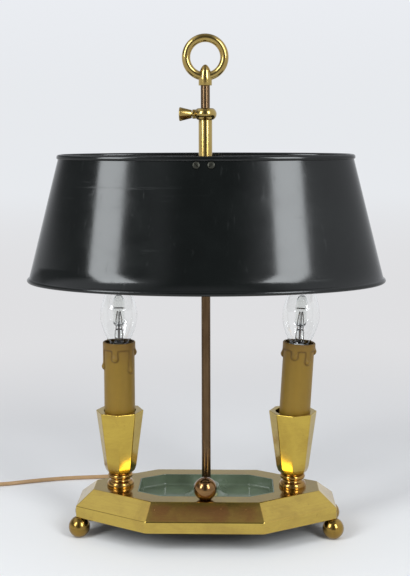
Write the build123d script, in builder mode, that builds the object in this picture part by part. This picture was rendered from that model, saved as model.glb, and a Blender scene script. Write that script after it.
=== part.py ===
"""Bouillotte lamp: a dished eight-sided brass tray on ball feet carries two candle lights and a rod
with a carrying ring. An oval sheet-metal shade slides on the rod and is held by a thumbscrew.

Millimetres, +Z up. The rod stands on the line X = Y = 0 and the feet stand on Z = 0. The lights
stand along X, and the front of the lamp faces -Y.
"""

from build123d import *
from math import atan2, cos, hypot, pi, radians, sin, sqrt, tan
import os

# Clearances
fit = 0.05  # radial play of a fixed fit
running = 0.06  # radial play where a piece turns or slides on another
turning_gap = 0.1  # between flat faces that turn on each other
drop_in = 0.4  # edge play of the bottom plate

# Ball feet
foot_d = 20.0
foot_rest_cut = 0.3  # small flat that the ball stands on
foot_seat_cut = 0.7  # flat under the tray
foot_stud_d = 4.0
foot_stud_l = 8.0
foot_in_x = 3.0  # from the tray's end to the foot's middle
foot_in_y = 1.0  # from the end face's corner to the foot's middle

# Tray casting: outline at the band, then the bevel up to the flat rim
tray_l = 244.0
tray_w = 125.6
tray_front = 107.0
tray_end = 45.0
band_h = 10.5
bevel_run = 15.7
bevel_rise = 13.5
wall = 3.0
pad_d = 13.0
post_d = 8.0
post_x = 62.0
post_y = 45.0
spot_face_l = 5.0  # flat seat for the cord's gland, cut into the bevel's underside

# Dish in the tray and its pressed liner
dish_l = 126.0
dish_w = 61.5
dish_front = 82.0
dish_end = 37.0
dish_depth = 10.0
dish_lean = 1.5
liner_t = 1.0
tub_wall = 2.0

# Bottom plate
plate_t = 1.2
plate_recess = 0.6
plate_screw_d = 3.0
plate_screw_head_d = 5.2
plate_screw_l = 8.0

# Rod and its fixing
rod_d = 8.5
rod_top_in = 4.0  # how far the rod goes into the ring post
socket_base_d = 41.0
socket_top_d = 25.0
socket_h = 12.0
socket_edge = 1.2
socket_bead = 2.6
socket_cove_d = 28.2  # across the cove at its middle
socket_cove_up = 5.4
washer_d = 20.0
washer_t = 1.2
nut_flats = 13.0
nut_h = 4.5

# Ring post and carrying ring
post_base_z = 421.0
ring_post_d = 12.4
ring_post_h = 19.2
ring_post_straight = 6.0
ring_d = 43.0
ring_wire_d = 7.8
ring_centre_up = 25.8  # above the foot of the ring post

# Shade: an oval cone of sheet metal with wired edges
shade_bottom_l = 331.4
shade_bottom_w = 182.0
shade_top_l = 272.8
shade_top_w = 125.0
shade_bottom_z = 241.5
shade_h = 114.3
shade_t = 1.0
bead_d = 4.6

# Bracket across the shade, and its screws
bracket_w = 22.0
bracket_t = 2.4
bracket_tab_t = 2.0
bracket_tab_h = 9.0
bracket_drop = 11.6  # from the middle of the top bead down to the bar's underside
hub_d = 20.0
hub_h = 9.0
bracket_screw_up = 6.0  # above the bar's underside
bracket_screw_gap = 13.0
bracket_screw_d = 3.0
bracket_screw_l = 5.5
bracket_head_d = 6.4
bracket_head_h = 1.7
slot_w = 0.9
slot_depth = 0.8

# Sliding tube, collar and thumbscrew
tube_d = 12.7
tube_below_hub = 14.0
tube_flange_d = 18.0
tube_flange_t = 2.4
collar_base_z = 389.6
collar_h = 10.7
collar_d = 21.0
collar_end_d = 14.5
spigot_d = 10.9
spigot_l = 2.8
clamp_boss_d = 8.6
clamp_boss_x = 12.0
clamp_d = 4.0
clamp_tip_gap = 0.1
clamp_head_gap = 0.4
clamp_head_l = 12.0
clamp_head_small_d = 7.6
clamp_head_large_d = 13.2
clamp_round = 0.8

# Candle lights
candle_in_x = 40.0  # from the tray's end to a light's middle
right_lean = 3.4  # degrees, away from the rod
neck_foot_d = 25.4
neck_foot_h = 4.4
neck_waist_d = 19.0
neck_bead_d = 23.6
neck_bead_h = 4.2
neck_h = 12.5
cup_base_d = 22.5
cup_heel_d = 27.6
cup_heel_h = 2.4
cup_low_d = 30.6
cup_low_h = 6.5
cup_top_d = 45.3
cup_h = 60.5
cup_bore_d = 22.8
cup_mouth_d = 32.8  # bore at the top, wide enough for a cover that leans
cup_ledge_d = 29.8  # bore just above the ledge that the cover stands on
cup_floor_t = 3.5
nipple_d = 10.0
nipple_bore_d = 7.0
nipple_below_rim = 8.0
thin_nut_flats = 15.0
thin_nut_h = 3.5
cup_nut_h = 5.0
pivot_up = 30.5  # stem's foot above the cup's base
nipple_past_pivot = 2.0
stem_seat_gap = 0.4
cover_seat_gap = 0.3
stem_socket_d = 13.0
stem_socket_h = 6.0
stem_socket_play = 0.5
holder_up = 48.0
holder_d = 25.0
holder_l = 45.0
holder_liner_t = 1.2
holder_liner_l = 22.0
cover_d = 29.0
cover_wall = 1.3
cover_l = 95.6
drip_d = 7.0
drip_top_d = 3.4
drip_l = 11.0
drip_proud = 2.2
left_drips = [(-75, 73.0), (-10, 82.0), (54, 70.5), (100, 85.5)]  # degrees from the front, height
right_drips = [(-95, 84.0), (-18, 84.5), (34, 80.0), (88, 88.0)]
cap_d = 13.9
cap_l = 24.0
cap_tip_d = 4.8
cap_tip_l = 1.5
cap_proud = 0.5  # of the lampholder's end
glass_t = 0.9
glass_d = 35.0
glass_widest_up = 26.6
glass_neck_d = 16.8
glass_flare_d = 21.7
glass_flare_up = 4.1
glass_taper_d = 21.0
glass_taper_up = 56.2
glass_foot_slope = (0.9, 1.0)  # outwards and upwards, where the glass leaves the cap
glass_l = 74.0
burner_d = 11.0
burner_l = 30.0
burner_up = 17.0
burner_round = 3.8
burner_stem_d = 8.0
burner_wire_d = 0.9
burner_wire_gap = 5.0

# Rotary switch and its ball knob
knob_y = -38.9
knob_d = 21.4
knob_gap = 0.3
knob_cut = 1.2
knob_shaft_d = 3.0
switch_neck_d = 6.0
switch_d = 19.0
switch_h = 6.2
switch_under = 0.4  # below the tray's tub

# Terminal block on the bottom plate
block_l = 24.0
block_w = 11.0
block_h = 8.0
block_x = -30.0
block_y = 45.0
block_hole_d = 3.0
block_ways = 3

# Cord, its gland and its plug
cord_d = 4.2
gland_z = 25.2
gland_body_d = 6.0
gland_flange_d = 8.0
gland_flange_t = 2.0
gland_cone_d = 7.0
gland_tip_d = 5.4
gland_cone_l = 25.0
coil_mid_d = 12 * cord_d
coil_columns = 5  # turns side by side on the table, with one fewer lying in the grooves on top
coil_x = -268.0
coil_y = 86.0
relief_l = 36.0
relief_tip_d = 5.4
relief_base_d = 9.0
plug_l = 36.0
plug_w = 34.0
plug_nose_w = 24.0
plug_round = 3.0
plug_pin_d = 4.0
plug_pin_l = 19.0
plug_pin_gap = 18.6
plug_pin_round = 1.4

# Heights and places that follow from the sizes above
tray_z = foot_d - foot_rest_cut - foot_seat_cut
bevel_z = tray_z + band_h
rim_z = bevel_z + bevel_rise
dish_z = rim_z - dish_depth
tub_z = dish_z - liner_t - tub_wall
plate_z = tray_z + plate_recess
plate_top_z = plate_z + plate_t
shade_top_z = shade_bottom_z + shade_h
bar_z = shade_top_z - bracket_drop
rod_r = rod_d / 2
foot_x = tray_l / 2 - foot_in_x
foot_y = tray_end / 2 - foot_in_y
candle_x = tray_l / 2 - candle_in_x
cup_z = rim_z + neck_h
pivot_z = cup_z + pivot_up
coil_r = coil_mid_d / 2 + cord_d * (coil_columns - 1) / 2  # middle of the outermost turn
top_turn_z = cord_d / 2 + cord_d * sqrt(0.75)

os.makedirs("parts", exist_ok=True)


def save(builder, name):
    """Label the finished piece and write it as one STEP file."""
    builder.part.label = name
    export_step(builder.part, f"parts/{name}.step")


def octagon(length, width, front, end, grow=0.0):
    """Draw an eight-sided plan in the open sketch: a rectangle with its corners cut."""
    quarter = [(length / 2, end / 2), (front / 2, width / 2)]
    top = quarter + [(-x, y) for x, y in reversed(quarter)]
    Polygon(*top, *[(x, -y) for x, y in reversed(top)], align=None)
    if grow:
        offset(amount=grow, kind=Kind.INTERSECTION)


def tray_plan(grow=0.0):
    """Draw the tray's plan in the open sketch, larger all round by grow."""
    octagon(tray_l, tray_w, tray_front, tray_end, grow)


def dish_plan(grow=0.0):
    """Draw the dish's plan in the open sketch, larger all round by grow."""
    octagon(dish_l, dish_w, dish_front, dish_end, grow)


def upright(x=0.0, y=0.0, z=0.0, lean=0.0):
    """Drawing plane through a point, facing -Y, whose own Y runs up a line that leans towards +X."""
    a = radians(lean)
    return Plane(origin=(x, y, z), x_dir=(cos(a), 0, -sin(a)), z_dir=(0, -1, 0))


def up_axis(plane):
    """The line that an upright drawing is turned about."""
    return Axis(plane.origin, plane.y_dir)


def turned(plane, *outline, mode=Mode.ADD):
    """Turn a closed outline of (radius, height) points about the plane's upright line."""
    with BuildSketch(plane) as section:
        Polygon(*outline, align=None)
    revolve(section.sketch, axis=up_axis(plane), mode=mode)


# Tray casting: a bevelled shell with a tub for the dish and pads for the feet
slope = bevel_rise / bevel_run
skin_run = wall / sin(atan2(bevel_rise, bevel_run))  # the bevel's wall, measured level
inner_foot_z = bevel_z - (skin_run - wall) * slope
roof_z = rim_z - wall
roof_in = skin_run + (roof_z - bevel_z) / slope
feet = [(sx * foot_x, sy * foot_y) for sx in (-1, 1) for sy in (-1, 1)]
posts = [(sx * post_x, sy * post_y) for sx in (-1, 1) for sy in (-1, 1)]

with BuildPart() as hollow:
    with BuildSketch(Plane.XY.offset(tray_z)):
        tray_plan(-wall)
    extrude(amount=inner_foot_z - tray_z)
    with BuildSketch(Plane.XY.offset(inner_foot_z)):
        tray_plan(-wall)
    with BuildSketch(Plane.XY.offset(roof_z)):
        tray_plan(-roof_in)
    loft(ruled=True)
    with BuildSketch(Plane.XY.offset(tray_z)):
        with Locations(*feet):
            Circle(pad_d / 2)
    extrude(amount=foot_stud_l + wall, mode=Mode.SUBTRACT)
    with BuildSketch(Plane.XY.offset(plate_top_z)):
        with Locations(*posts):
            Circle(post_d / 2)
    extrude(amount=rim_z - plate_top_z, mode=Mode.SUBTRACT)
    with BuildSketch(Plane.XY.offset(tub_z)):
        dish_plan(liner_t + fit + tub_wall)
    extrude(amount=rim_z - tub_z, mode=Mode.SUBTRACT)

with BuildPart() as tray:
    with BuildSketch(Plane.XY.offset(tray_z)):
        tray_plan()
    extrude(amount=band_h)
    with BuildSketch(Plane.XY.offset(bevel_z)):
        tray_plan()
    with BuildSketch(Plane.XY.offset(rim_z)):
        tray_plan(-bevel_run)
    loft(ruled=True)
    add(hollow.part, mode=Mode.SUBTRACT)
    with BuildSketch(Plane.XY.offset(dish_z - liner_t)):
        dish_plan(liner_t + fit - dish_lean)
    with BuildSketch(Plane.XY.offset(rim_z)):
        dish_plan(liner_t + fit)
    loft(ruled=True, mode=Mode.SUBTRACT)
    with BuildSketch(Plane.XY.offset(tray_z)):
        with Locations(*feet):
            Circle(foot_stud_d / 2 + fit)
    extrude(amount=foot_stud_l + fit, mode=Mode.SUBTRACT)
    with BuildSketch(Plane.XY.offset(plate_top_z)):
        with Locations(*posts):
            Circle(plate_screw_d / 2 + fit)
    extrude(amount=plate_screw_l, mode=Mode.SUBTRACT)
    with BuildSketch(Plane.XY.offset(tub_z)):
        Circle(rod_r + fit)
        with Locations((-candle_x, 0), (candle_x, 0)):
            Circle(nipple_d / 2 + fit)
        with Locations((0, knob_y)):
            Circle(switch_neck_d / 2 + fit)
    extrude(amount=rim_z - tub_z, mode=Mode.SUBTRACT)
    with BuildSketch(Plane.XZ.offset(-tray_w / 2)):
        with Locations((0, gland_z)):
            Circle(gland_body_d / 2 + fit)
    extrude(amount=wall, mode=Mode.SUBTRACT)
    with BuildSketch(Plane.XZ.offset(wall - tray_w / 2)):
        with Locations((0, gland_z)):
            Circle(gland_flange_d / 2 + fit)
    extrude(amount=spot_face_l, mode=Mode.SUBTRACT)
save(tray, "tray_casting")

with BuildPart() as liner:
    with BuildSketch(Plane.XY.offset(dish_z - liner_t)):
        dish_plan(liner_t - dish_lean)
    with BuildSketch(Plane.XY.offset(rim_z)):
        dish_plan(liner_t)
    loft(ruled=True)
    with BuildSketch(Plane.XY.offset(dish_z)):
        dish_plan(-dish_lean)
    with BuildSketch(Plane.XY.offset(rim_z)):
        dish_plan()
    loft(ruled=True, mode=Mode.SUBTRACT)
    with BuildSketch(Plane.XY.offset(dish_z - liner_t)):
        Circle(rod_r + fit)
    extrude(amount=liner_t, mode=Mode.SUBTRACT)
save(liner, "dish_liner")

# Ball feet, each with its stud
foot_names = ("foot_rear_left", "foot_front_left", "foot_rear_right", "foot_front_right")
foot_places = [(sx * foot_x, sy * foot_y) for sx in (-1, 1) for sy in (1, -1)]
for name, (x, y) in zip(foot_names, foot_places):
    with BuildPart() as foot:
        with Locations((x, y, foot_d / 2 - foot_rest_cut)):
            Sphere(foot_d / 2)
        split(bisect_by=Plane.XY, keep=Keep.TOP)
        split(bisect_by=Plane.XY.offset(tray_z), keep=Keep.BOTTOM)
        with BuildSketch(Plane.XY.offset(tray_z)):
            with Locations((x, y)):
                Circle(foot_stud_d / 2)
        extrude(amount=foot_stud_l)
    save(foot, name)

# Bottom plate and its countersunk screws
with BuildPart() as plate:
    with BuildSketch(Plane.XY.offset(plate_z)):
        tray_plan(-wall - drop_in)
        with Locations(*feet):
            Circle(pad_d / 2 + drop_in, mode=Mode.SUBTRACT)
    extrude(amount=plate_t)
    with Locations(*[Location((x, y, plate_z), (180, 0, 0)) for x, y in posts]):
        CounterSinkHole(
            plate_screw_d / 2 + fit,
            plate_screw_head_d / 2 + fit,
            depth=plate_t,
            counter_sink_angle=90,
        )
save(plate, "bottom_plate")

head_drop = (plate_screw_head_d - plate_screw_d) / 2
with BuildPart() as plate_screws:
    for x, y in posts:
        turned(
            upright(x, y, plate_z),
            (0, 0),
            (plate_screw_head_d / 2, 0),
            (plate_screw_d / 2, head_drop),
            (plate_screw_d / 2, plate_t + plate_screw_l - fit),
            (0, plate_t + plate_screw_l - fit),
        )
save(plate_screws, "bottom_plate_screws")

# Rod, the socket it stands in, and the nut and washer that hold it
with BuildPart() as socket:
    with BuildSketch(upright(z=dish_z)):
        with BuildLine():
            shoulder = (socket_top_d / 2, socket_h - socket_bead)
            foot_edge = (socket_base_d / 2, socket_edge)
            Polyline((rod_r + fit, socket_h), (rod_r + fit, 0), (socket_base_d / 2, 0), foot_edge)
            ThreePointArc(foot_edge, (socket_cove_d / 2, socket_cove_up), shoulder)
            bead_in = socket_bead * (1 - sqrt(0.5))  # a quarter round over the cove
            ThreePointArc(
                shoulder,
                (socket_top_d / 2 - bead_in, socket_h - bead_in),
                (socket_top_d / 2 - socket_bead, socket_h),
            )
            Line((socket_top_d / 2 - socket_bead, socket_h), (rod_r + fit, socket_h))
        make_face()
    revolve(axis=Axis.Z)
save(socket, "rod_socket")

washer_z = tub_z - washer_t
with BuildPart() as washer:
    with BuildSketch(Plane.XY.offset(washer_z)):
        Circle(washer_d / 2)
        Circle(rod_r + fit, mode=Mode.SUBTRACT)
    extrude(amount=washer_t)
save(washer, "rod_washer")

with BuildPart() as rod_nut:
    with BuildSketch(Plane.XY.offset(washer_z - nut_h)):
        RegularPolygon(nut_flats / 2, 6, major_radius=False)
        Circle(rod_r + fit, mode=Mode.SUBTRACT)
    extrude(amount=nut_h)
save(rod_nut, "rod_nut")

with BuildPart() as rod:
    with BuildSketch(Plane.XY.offset(washer_z - nut_h)):
        Circle(rod_r)
    extrude(amount=post_base_z + rod_top_in - washer_z + nut_h)
save(rod, "rod")

# Carrying ring, held in a bullet-shaped post
ring_z = post_base_z + ring_centre_up
ring_r = (ring_d - ring_wire_d) / 2
ring_plane = upright(z=ring_z)
with BuildPart() as ring:
    with Locations(ring_plane):
        Torus(ring_r, ring_wire_d / 2)
save(ring, "carrying_ring")

with BuildPart() as ring_post:
    with BuildSketch(upright(z=post_base_z)):
        with BuildLine():
            side = (ring_post_d / 2, ring_post_straight)
            Polyline((0, ring_post_h), (0, 0), (ring_post_d / 2, 0), side)
            Bezier(
                side,
                (ring_post_d / 2, (ring_post_straight + ring_post_h) / 2),
                (ring_post_d / 4, ring_post_h),
                (0, ring_post_h),
            )
        make_face()
    revolve(axis=Axis.Z)
    with BuildSketch(Plane.XY.offset(post_base_z)):
        Circle(rod_r + fit)
    extrude(amount=rod_top_in, mode=Mode.SUBTRACT)
    with Locations(ring_plane):
        Torus(ring_r, ring_wire_d / 2 + fit, mode=Mode.SUBTRACT)
save(ring_post, "ring_post")


# Shade shell with wired edges
def shade_oval(z, inward=0.0):
    """Half length and half width of the shade's outer face at a height."""
    share = (z - shade_bottom_z) / shade_h
    half_l = (shade_bottom_l + share * (shade_top_l - shade_bottom_l)) / 2
    half_w = (shade_bottom_w + share * (shade_top_w - shade_bottom_w)) / 2
    return half_l - inward, half_w - inward


def shade_cone(low_z, high_z, inward=0.0, mode=Mode.ADD):
    """Oval cone between two heights, inside the shade's outer face by inward."""
    ovals = []
    for z in (low_z, high_z):
        with BuildSketch(Plane.XY.offset(z)) as oval:
            Ellipse(*shade_oval(z, inward))
        ovals.append(oval.sketch)
    loft(ovals, ruled=True, mode=mode)


lean_of_front = atan2(shade_bottom_w - shade_top_w, 2 * shade_h)
screw_z = bar_z + bracket_screw_up
screw_y = shade_oval(screw_z)[1]
screw_planes = [
    Plane(
        origin=(sx * bracket_screw_gap / 2, sy * screw_y, screw_z),
        x_dir=(1, 0, 0),
        z_dir=(0, sy * cos(lean_of_front), sin(lean_of_front)),
    )
    for sx in (-1, 1)
    for sy in (-1, 1)
]

with BuildPart() as shade:
    shade_cone(shade_bottom_z, shade_top_z)
    shade_cone(shade_bottom_z, shade_top_z, shade_t, Mode.SUBTRACT)
    for z in (shade_bottom_z, shade_top_z):
        half_l, half_w = shade_oval(z, shade_t / 2)
        with BuildLine(Plane.XY.offset(z)) as edge:
            EllipticalCenterArc((0, 0), half_l, half_w, start_angle=0, arc_size=360)
        with BuildSketch(Plane(origin=(half_l, 0, z), z_dir=(0, 1, 0))):
            Circle(bead_d / 2)
        sweep(path=edge.line, transition=Transition.RIGHT)
    with Locations(*screw_planes):
        Cylinder(bracket_screw_d / 2 + fit, 4 * shade_t, mode=Mode.SUBTRACT)
save(shade, "shade")

# Bracket: a hub on the tube and a flat bar whose ends turn up against the shade
tab_top_z = bar_z + bracket_tab_h
with BuildPart() as bracket:
    with BuildSketch(Plane.YZ):
        with BuildLine():
            low, high = (shade_oval(z, shade_t)[1] for z in (bar_z, tab_top_z))
            bend = shade_oval(bar_z + bracket_t, shade_t)[1] - bracket_tab_t
            side = [(low, bar_z), (high, tab_top_z), (high - bracket_tab_t, tab_top_z)]
            side += [(bend, bar_z + bracket_t)]
            Polyline(*side, *[(-y, z) for y, z in reversed(side)], close=True)
        make_face()
    extrude(amount=bracket_w / 2, both=True)
    with BuildSketch(Plane.XY.offset(bar_z)):
        Circle(hub_d / 2)
    extrude(amount=hub_h)
    shade_cone(bar_z, shade_top_z, shade_t + fit, Mode.INTERSECT)
    with BuildSketch(Plane.XY.offset(bar_z)):
        Circle(tube_d / 2 + running)
    extrude(amount=hub_h, mode=Mode.SUBTRACT)
    with Locations(*screw_planes):
        Cylinder(bracket_screw_d / 2 + fit, 4 * bracket_screw_l, mode=Mode.SUBTRACT)
save(bracket, "shade_bracket")

with BuildPart() as bracket_screws:
    for place in screw_planes:
        with BuildSketch(place):
            Circle(bracket_head_d / 2)
        extrude(amount=bracket_head_h)
        with BuildSketch(place.offset(bracket_head_h - slot_depth)):
            Rectangle(bracket_head_d, slot_w)
        extrude(amount=slot_depth, mode=Mode.SUBTRACT)
        with BuildSketch(place.offset(-bracket_screw_l)):
            Circle(bracket_screw_d / 2)
        extrude(amount=bracket_screw_l)
save(bracket_screws, "bracket_screws")

# Sliding tube and its collar
tube_z = bar_z - turning_gap - tube_flange_t - tube_below_hub
tube_bore_r = rod_r + running
with BuildPart() as tube:
    with BuildSketch(Plane.XY.offset(tube_z)):
        Circle(tube_d / 2)
    extrude(amount=collar_base_z - tube_z)
    with BuildSketch(Plane.XY.offset(bar_z - turning_gap - tube_flange_t)):
        Circle(tube_flange_d / 2)
    extrude(amount=tube_flange_t)
    with BuildSketch(Plane.XY.offset(collar_base_z)):
        Circle(spigot_d / 2)
    extrude(amount=spigot_l)
    with BuildSketch(Plane.XY.offset(tube_z)):
        Circle(tube_bore_r)
    extrude(amount=collar_base_z + spigot_l - tube_z, mode=Mode.SUBTRACT)
save(tube, "sliding_tube")

clamp_z = collar_base_z + collar_h / 2
clamp_plane = Plane(origin=(0, 0, clamp_z), x_dir=(0, 1, 0), z_dir=(-1, 0, 0))
with BuildPart() as collar:
    with BuildSketch(upright(z=collar_base_z)):
        with BuildLine():
            Polyline((collar_end_d / 2, 0), (0, 0), (0, collar_h), (collar_end_d / 2, collar_h))
            ThreePointArc(
                (collar_end_d / 2, collar_h),
                (collar_d / 2, collar_h / 2),
                (collar_end_d / 2, 0),
            )
        make_face()
    revolve(axis=Axis.Z)
    with BuildSketch(clamp_plane):
        Circle(clamp_boss_d / 2)
    extrude(amount=clamp_boss_x)
    with BuildSketch(Plane.XY.offset(collar_base_z)):
        Circle(tube_bore_r)
    extrude(amount=collar_h, mode=Mode.SUBTRACT)
    with BuildSketch(Plane.XY.offset(collar_base_z)):
        Circle(spigot_d / 2 + fit)
    extrude(amount=spigot_l + fit, mode=Mode.SUBTRACT)
    with BuildSketch(clamp_plane):
        Circle(clamp_d / 2 + running)
    extrude(amount=clamp_boss_x, mode=Mode.SUBTRACT)
save(collar, "collar")

# Thumbscrew: a shank and a cone that widens away from the collar
clamp_tip = rod_r + clamp_tip_gap
clamp_head_x = clamp_boss_x + clamp_head_gap
with BuildPart() as thumbscrew:
    with BuildSketch(clamp_plane.offset(clamp_tip)):
        Circle(clamp_d / 2)
    extrude(amount=clamp_head_x - clamp_tip)
    with BuildSketch(clamp_plane.offset(clamp_head_x)):
        Circle(clamp_head_small_d / 2)
    with BuildSketch(clamp_plane.offset(clamp_head_x + clamp_head_l)):
        Circle(clamp_head_large_d / 2)
    loft()
    fillet(thumbscrew.faces().sort_by(Axis.X)[0].edges(), clamp_round)
save(thumbscrew, "thumbscrew")


# Candle lights: everything that one light is made of, on the left and on the right
def neck_outline(plane):
    """Outline of the turned neck: a rounded foot, a waist and a bead under the cup."""
    foot_r = neck_foot_d / 2
    bead_r = neck_bead_d / 2
    bead_z = neck_h - neck_bead_h
    with BuildSketch(plane) as outline:
        with BuildLine():
            Polyline((nipple_d / 2 + fit, neck_h), (nipple_d / 2 + fit, 0), (foot_r, 0))
            RadiusArc((foot_r, 0), (foot_r - neck_foot_h / 3, neck_foot_h), -neck_foot_h)
            ThreePointArc(
                (foot_r - neck_foot_h / 3, neck_foot_h),
                (neck_waist_d / 2, (neck_foot_h + bead_z) / 2),
                (bead_r - neck_bead_h / 2, bead_z),
            )
            ThreePointArc(
                (bead_r - neck_bead_h / 2, bead_z),
                (bead_r, bead_z + neck_bead_h / 2),
                (bead_r - neck_bead_h / 2, neck_h),
            )
            Line((bead_r - neck_bead_h / 2, neck_h), (nipple_d / 2 + fit, neck_h))
        make_face()
    return outline.sketch


def glass_outline(plane, inset=0.0):
    """Outline of a candle bulb's glass above its cap, drawn in by inset."""
    neck_r = glass_neck_d / 2 - inset
    top = glass_l - inset
    with BuildSketch(plane) as outline:
        with BuildLine():
            Spline(
                (neck_r, 0),
                (glass_flare_d / 2 - inset, glass_flare_up),
                (glass_d / 2 - inset, glass_widest_up),
                (glass_taper_d / 2 - inset, glass_taper_up),
                (0, top),
                tangents=[glass_foot_slope, (-1, 0)],
            )
            Polyline((0, top), (0, 0), (neck_r, 0))
        make_face()
    return outline.sketch


def candle_light(side, x, lean, drips):
    """Build one light at x. Its stem, holder, cover and bulb lean outwards by lean degrees."""
    with BuildPart() as neck:
        revolve(neck_outline(upright(x, 0, rim_z)), axis=up_axis(upright(x, 0, rim_z)))
    save(neck, f"{side}_neck")

    cup_sections = (
        (0, cup_base_d),
        (cup_heel_h, cup_heel_d),
        (cup_low_h, cup_low_d),
        (cup_h, cup_top_d),
    )
    ledge_h = pivot_up + stem_seat_gap - cover_d / 2 * sin(radians(lean)) - cover_seat_gap
    with BuildPart() as cup:
        for height, across in cup_sections:
            with BuildSketch(Plane.XY.offset(cup_z + height)):
                with Locations((x, 0)):
                    RegularPolygon(across / 2, 8)
        loft(ruled=True)
        turned(
            upright(x, 0, cup_z),
            (0, cup_floor_t),
            (cup_bore_d / 2, cup_floor_t),
            (cup_bore_d / 2, ledge_h),
            (cup_ledge_d / 2, ledge_h),
            (cup_mouth_d / 2, cup_h),
            (0, cup_h),
            mode=Mode.SUBTRACT,
        )
        with BuildSketch(Plane.XY.offset(cup_z)):
            with Locations((x, 0)):
                Circle(nipple_d / 2 + fit)
        extrude(amount=cup_floor_t, mode=Mode.SUBTRACT)
    save(cup, f"{side}_cup")

    with BuildPart() as nipple:
        with BuildSketch(Plane.XY.offset(rim_z - nipple_below_rim)):
            with Locations((x, 0)):
                Circle(nipple_d / 2)
                Circle(nipple_bore_d / 2, mode=Mode.SUBTRACT)
        extrude(amount=pivot_z + nipple_past_pivot - rim_z + nipple_below_rim)
    save(nipple, f"{side}_nipple")

    with BuildPart() as nuts:
        for base, height in ((roof_z - thin_nut_h, thin_nut_h), (cup_z + cup_floor_t, cup_nut_h)):
            with BuildSketch(Plane.XY.offset(base)):
                with Locations((x, 0)):
                    RegularPolygon(thin_nut_flats / 2, 6, major_radius=False)
                    Circle(nipple_d / 2 + fit, mode=Mode.SUBTRACT)
            extrude(amount=height)
    save(nuts, f"{side}_nipple_nuts")

    stand = upright(x, 0, pivot_z, lean)
    bore_r = nipple_bore_d / 2
    stem_r = nipple_d / 2
    socket_r = stem_socket_d / 2
    loose_r = stem_r + stem_socket_play
    loose_h = nipple_past_pivot + stem_socket_play
    stem_top = holder_up + stem_socket_h
    with BuildPart() as stem:
        turned(
            stand,
            (loose_r, stem_seat_gap),
            (socket_r, stem_seat_gap),
            (socket_r, stem_socket_h),
            (stem_r, stem_socket_h),
            (stem_r, stem_top),
            (bore_r, stem_top),
            (bore_r, loose_h),
            (loose_r, loose_h),
        )
    save(stem, f"{side}_stem")

    liner_r = cap_d / 2 + fit + holder_liner_t
    holder_top = holder_up + holder_l
    liner_z = holder_top - holder_liner_l
    with BuildPart() as holder:
        turned(
            stand,
            (stem_r + fit, holder_up),
            (holder_d / 2, holder_up),
            (holder_d / 2, holder_top),
            (liner_r + fit, holder_top),
            (liner_r + fit, liner_z - cap_tip_l),
            (bore_r, liner_z - cap_tip_l),
            (bore_r, stem_top + fit),
            (stem_r + fit, stem_top + fit),
        )
    save(holder, f"{side}_lampholder")

    with BuildPart() as holder_liner:
        turned(
            stand,
            (cap_d / 2 + fit, liner_z - cap_tip_l),
            (liner_r, liner_z - cap_tip_l),
            (liner_r, holder_top - fit),
            (cap_d / 2 + fit, holder_top - fit),
        )
    save(holder_liner, f"{side}_holder_thread")

    drip_line = cover_d / 2 + drip_proud - drip_d / 2
    with BuildPart() as cover:
        turned(
            stand,
            (0, stem_seat_gap),
            (cover_d / 2, stem_seat_gap),
            (cover_d / 2, stem_seat_gap + cover_l),
            (0, stem_seat_gap + cover_l),
        )
        for around, height in drips:
            out = (drip_line * sin(radians(around)), height, drip_line * cos(radians(around)))
            with Locations(stand.location * Location(out)):
                Sphere(drip_d / 2)
            with Locations(stand.location * Location(out) * Location((0, drip_l / 2, 0), (-90, 0, 0))):
                Cone(drip_d / 2, drip_top_d / 2, drip_l)
        turned(
            stand,
            (0, stem_seat_gap),
            (cover_d / 2 - cover_wall, stem_seat_gap),
            (cover_d / 2 - cover_wall, stem_seat_gap + cover_l),
            (0, stem_seat_gap + cover_l),
            mode=Mode.SUBTRACT,
        )
    save(cover, f"{side}_candle_cover")

    cap_top = holder_top + cap_proud
    cap_z = cap_top - cap_l + cap_tip_l
    with BuildPart() as cap:
        turned(
            stand,
            (0, cap_z - cap_tip_l),
            (cap_tip_d / 2, cap_z - cap_tip_l),
            (cap_tip_d / 2, cap_z),
            (cap_d / 2, cap_z + cap_tip_l),
            (cap_d / 2, cap_top),
            (0, cap_top),
        )
    save(cap, f"{side}_bulb_cap")

    bulb_plane = upright(
        x + cap_top * sin(radians(lean)), 0, pivot_z + cap_top * cos(radians(lean)), lean
    )
    with BuildPart() as glass:
        revolve(glass_outline(bulb_plane), axis=up_axis(bulb_plane))
        revolve(glass_outline(bulb_plane, glass_t), axis=up_axis(bulb_plane), mode=Mode.SUBTRACT)
    save(glass, f"{side}_bulb_glass")

    along = Plane(origin=bulb_plane.origin, x_dir=bulb_plane.x_dir, z_dir=bulb_plane.y_dir)
    with BuildPart() as burner:
        with BuildSketch(along):
            Circle(burner_stem_d / 2)
        extrude(amount=burner_up / 2)
        with BuildSketch(along):
            with GridLocations(burner_wire_gap, 0, 2, 1):
                Circle(burner_wire_d / 2)
        extrude(amount=burner_up + burner_d / 2)
        with BuildSketch(along.offset(burner_up)):
            Circle(burner_d / 2)
        extrude(amount=burner_l)
        fillet(burner.edges().group_by(Axis.Z)[-1], burner_round)
    save(burner, f"{side}_bulb_burner")


candle_light("left", -candle_x, 0.0, left_drips)
candle_light("right", candle_x, right_lean, right_drips)

# Ball knob and the rotary switch it turns
switch_top_z = tub_z - switch_under
with BuildPart() as switch:
    with BuildSketch(Plane.XY.offset(switch_top_z - switch_h)):
        with Locations((0, knob_y)):
            Circle(switch_d / 2)
    extrude(amount=switch_h)
    with BuildSketch(Plane.XY.offset(switch_top_z)):
        with Locations((0, knob_y)):
            Circle(switch_neck_d / 2)
    extrude(amount=rim_z - switch_top_z)
    with BuildSketch(Plane.XY.offset(switch_top_z - switch_h / 2)):
        with Locations((0, knob_y)):
            Circle(knob_shaft_d / 2 + running)
    extrude(amount=rim_z - switch_top_z + switch_h / 2, mode=Mode.SUBTRACT)
save(switch, "switch_body")

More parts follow.
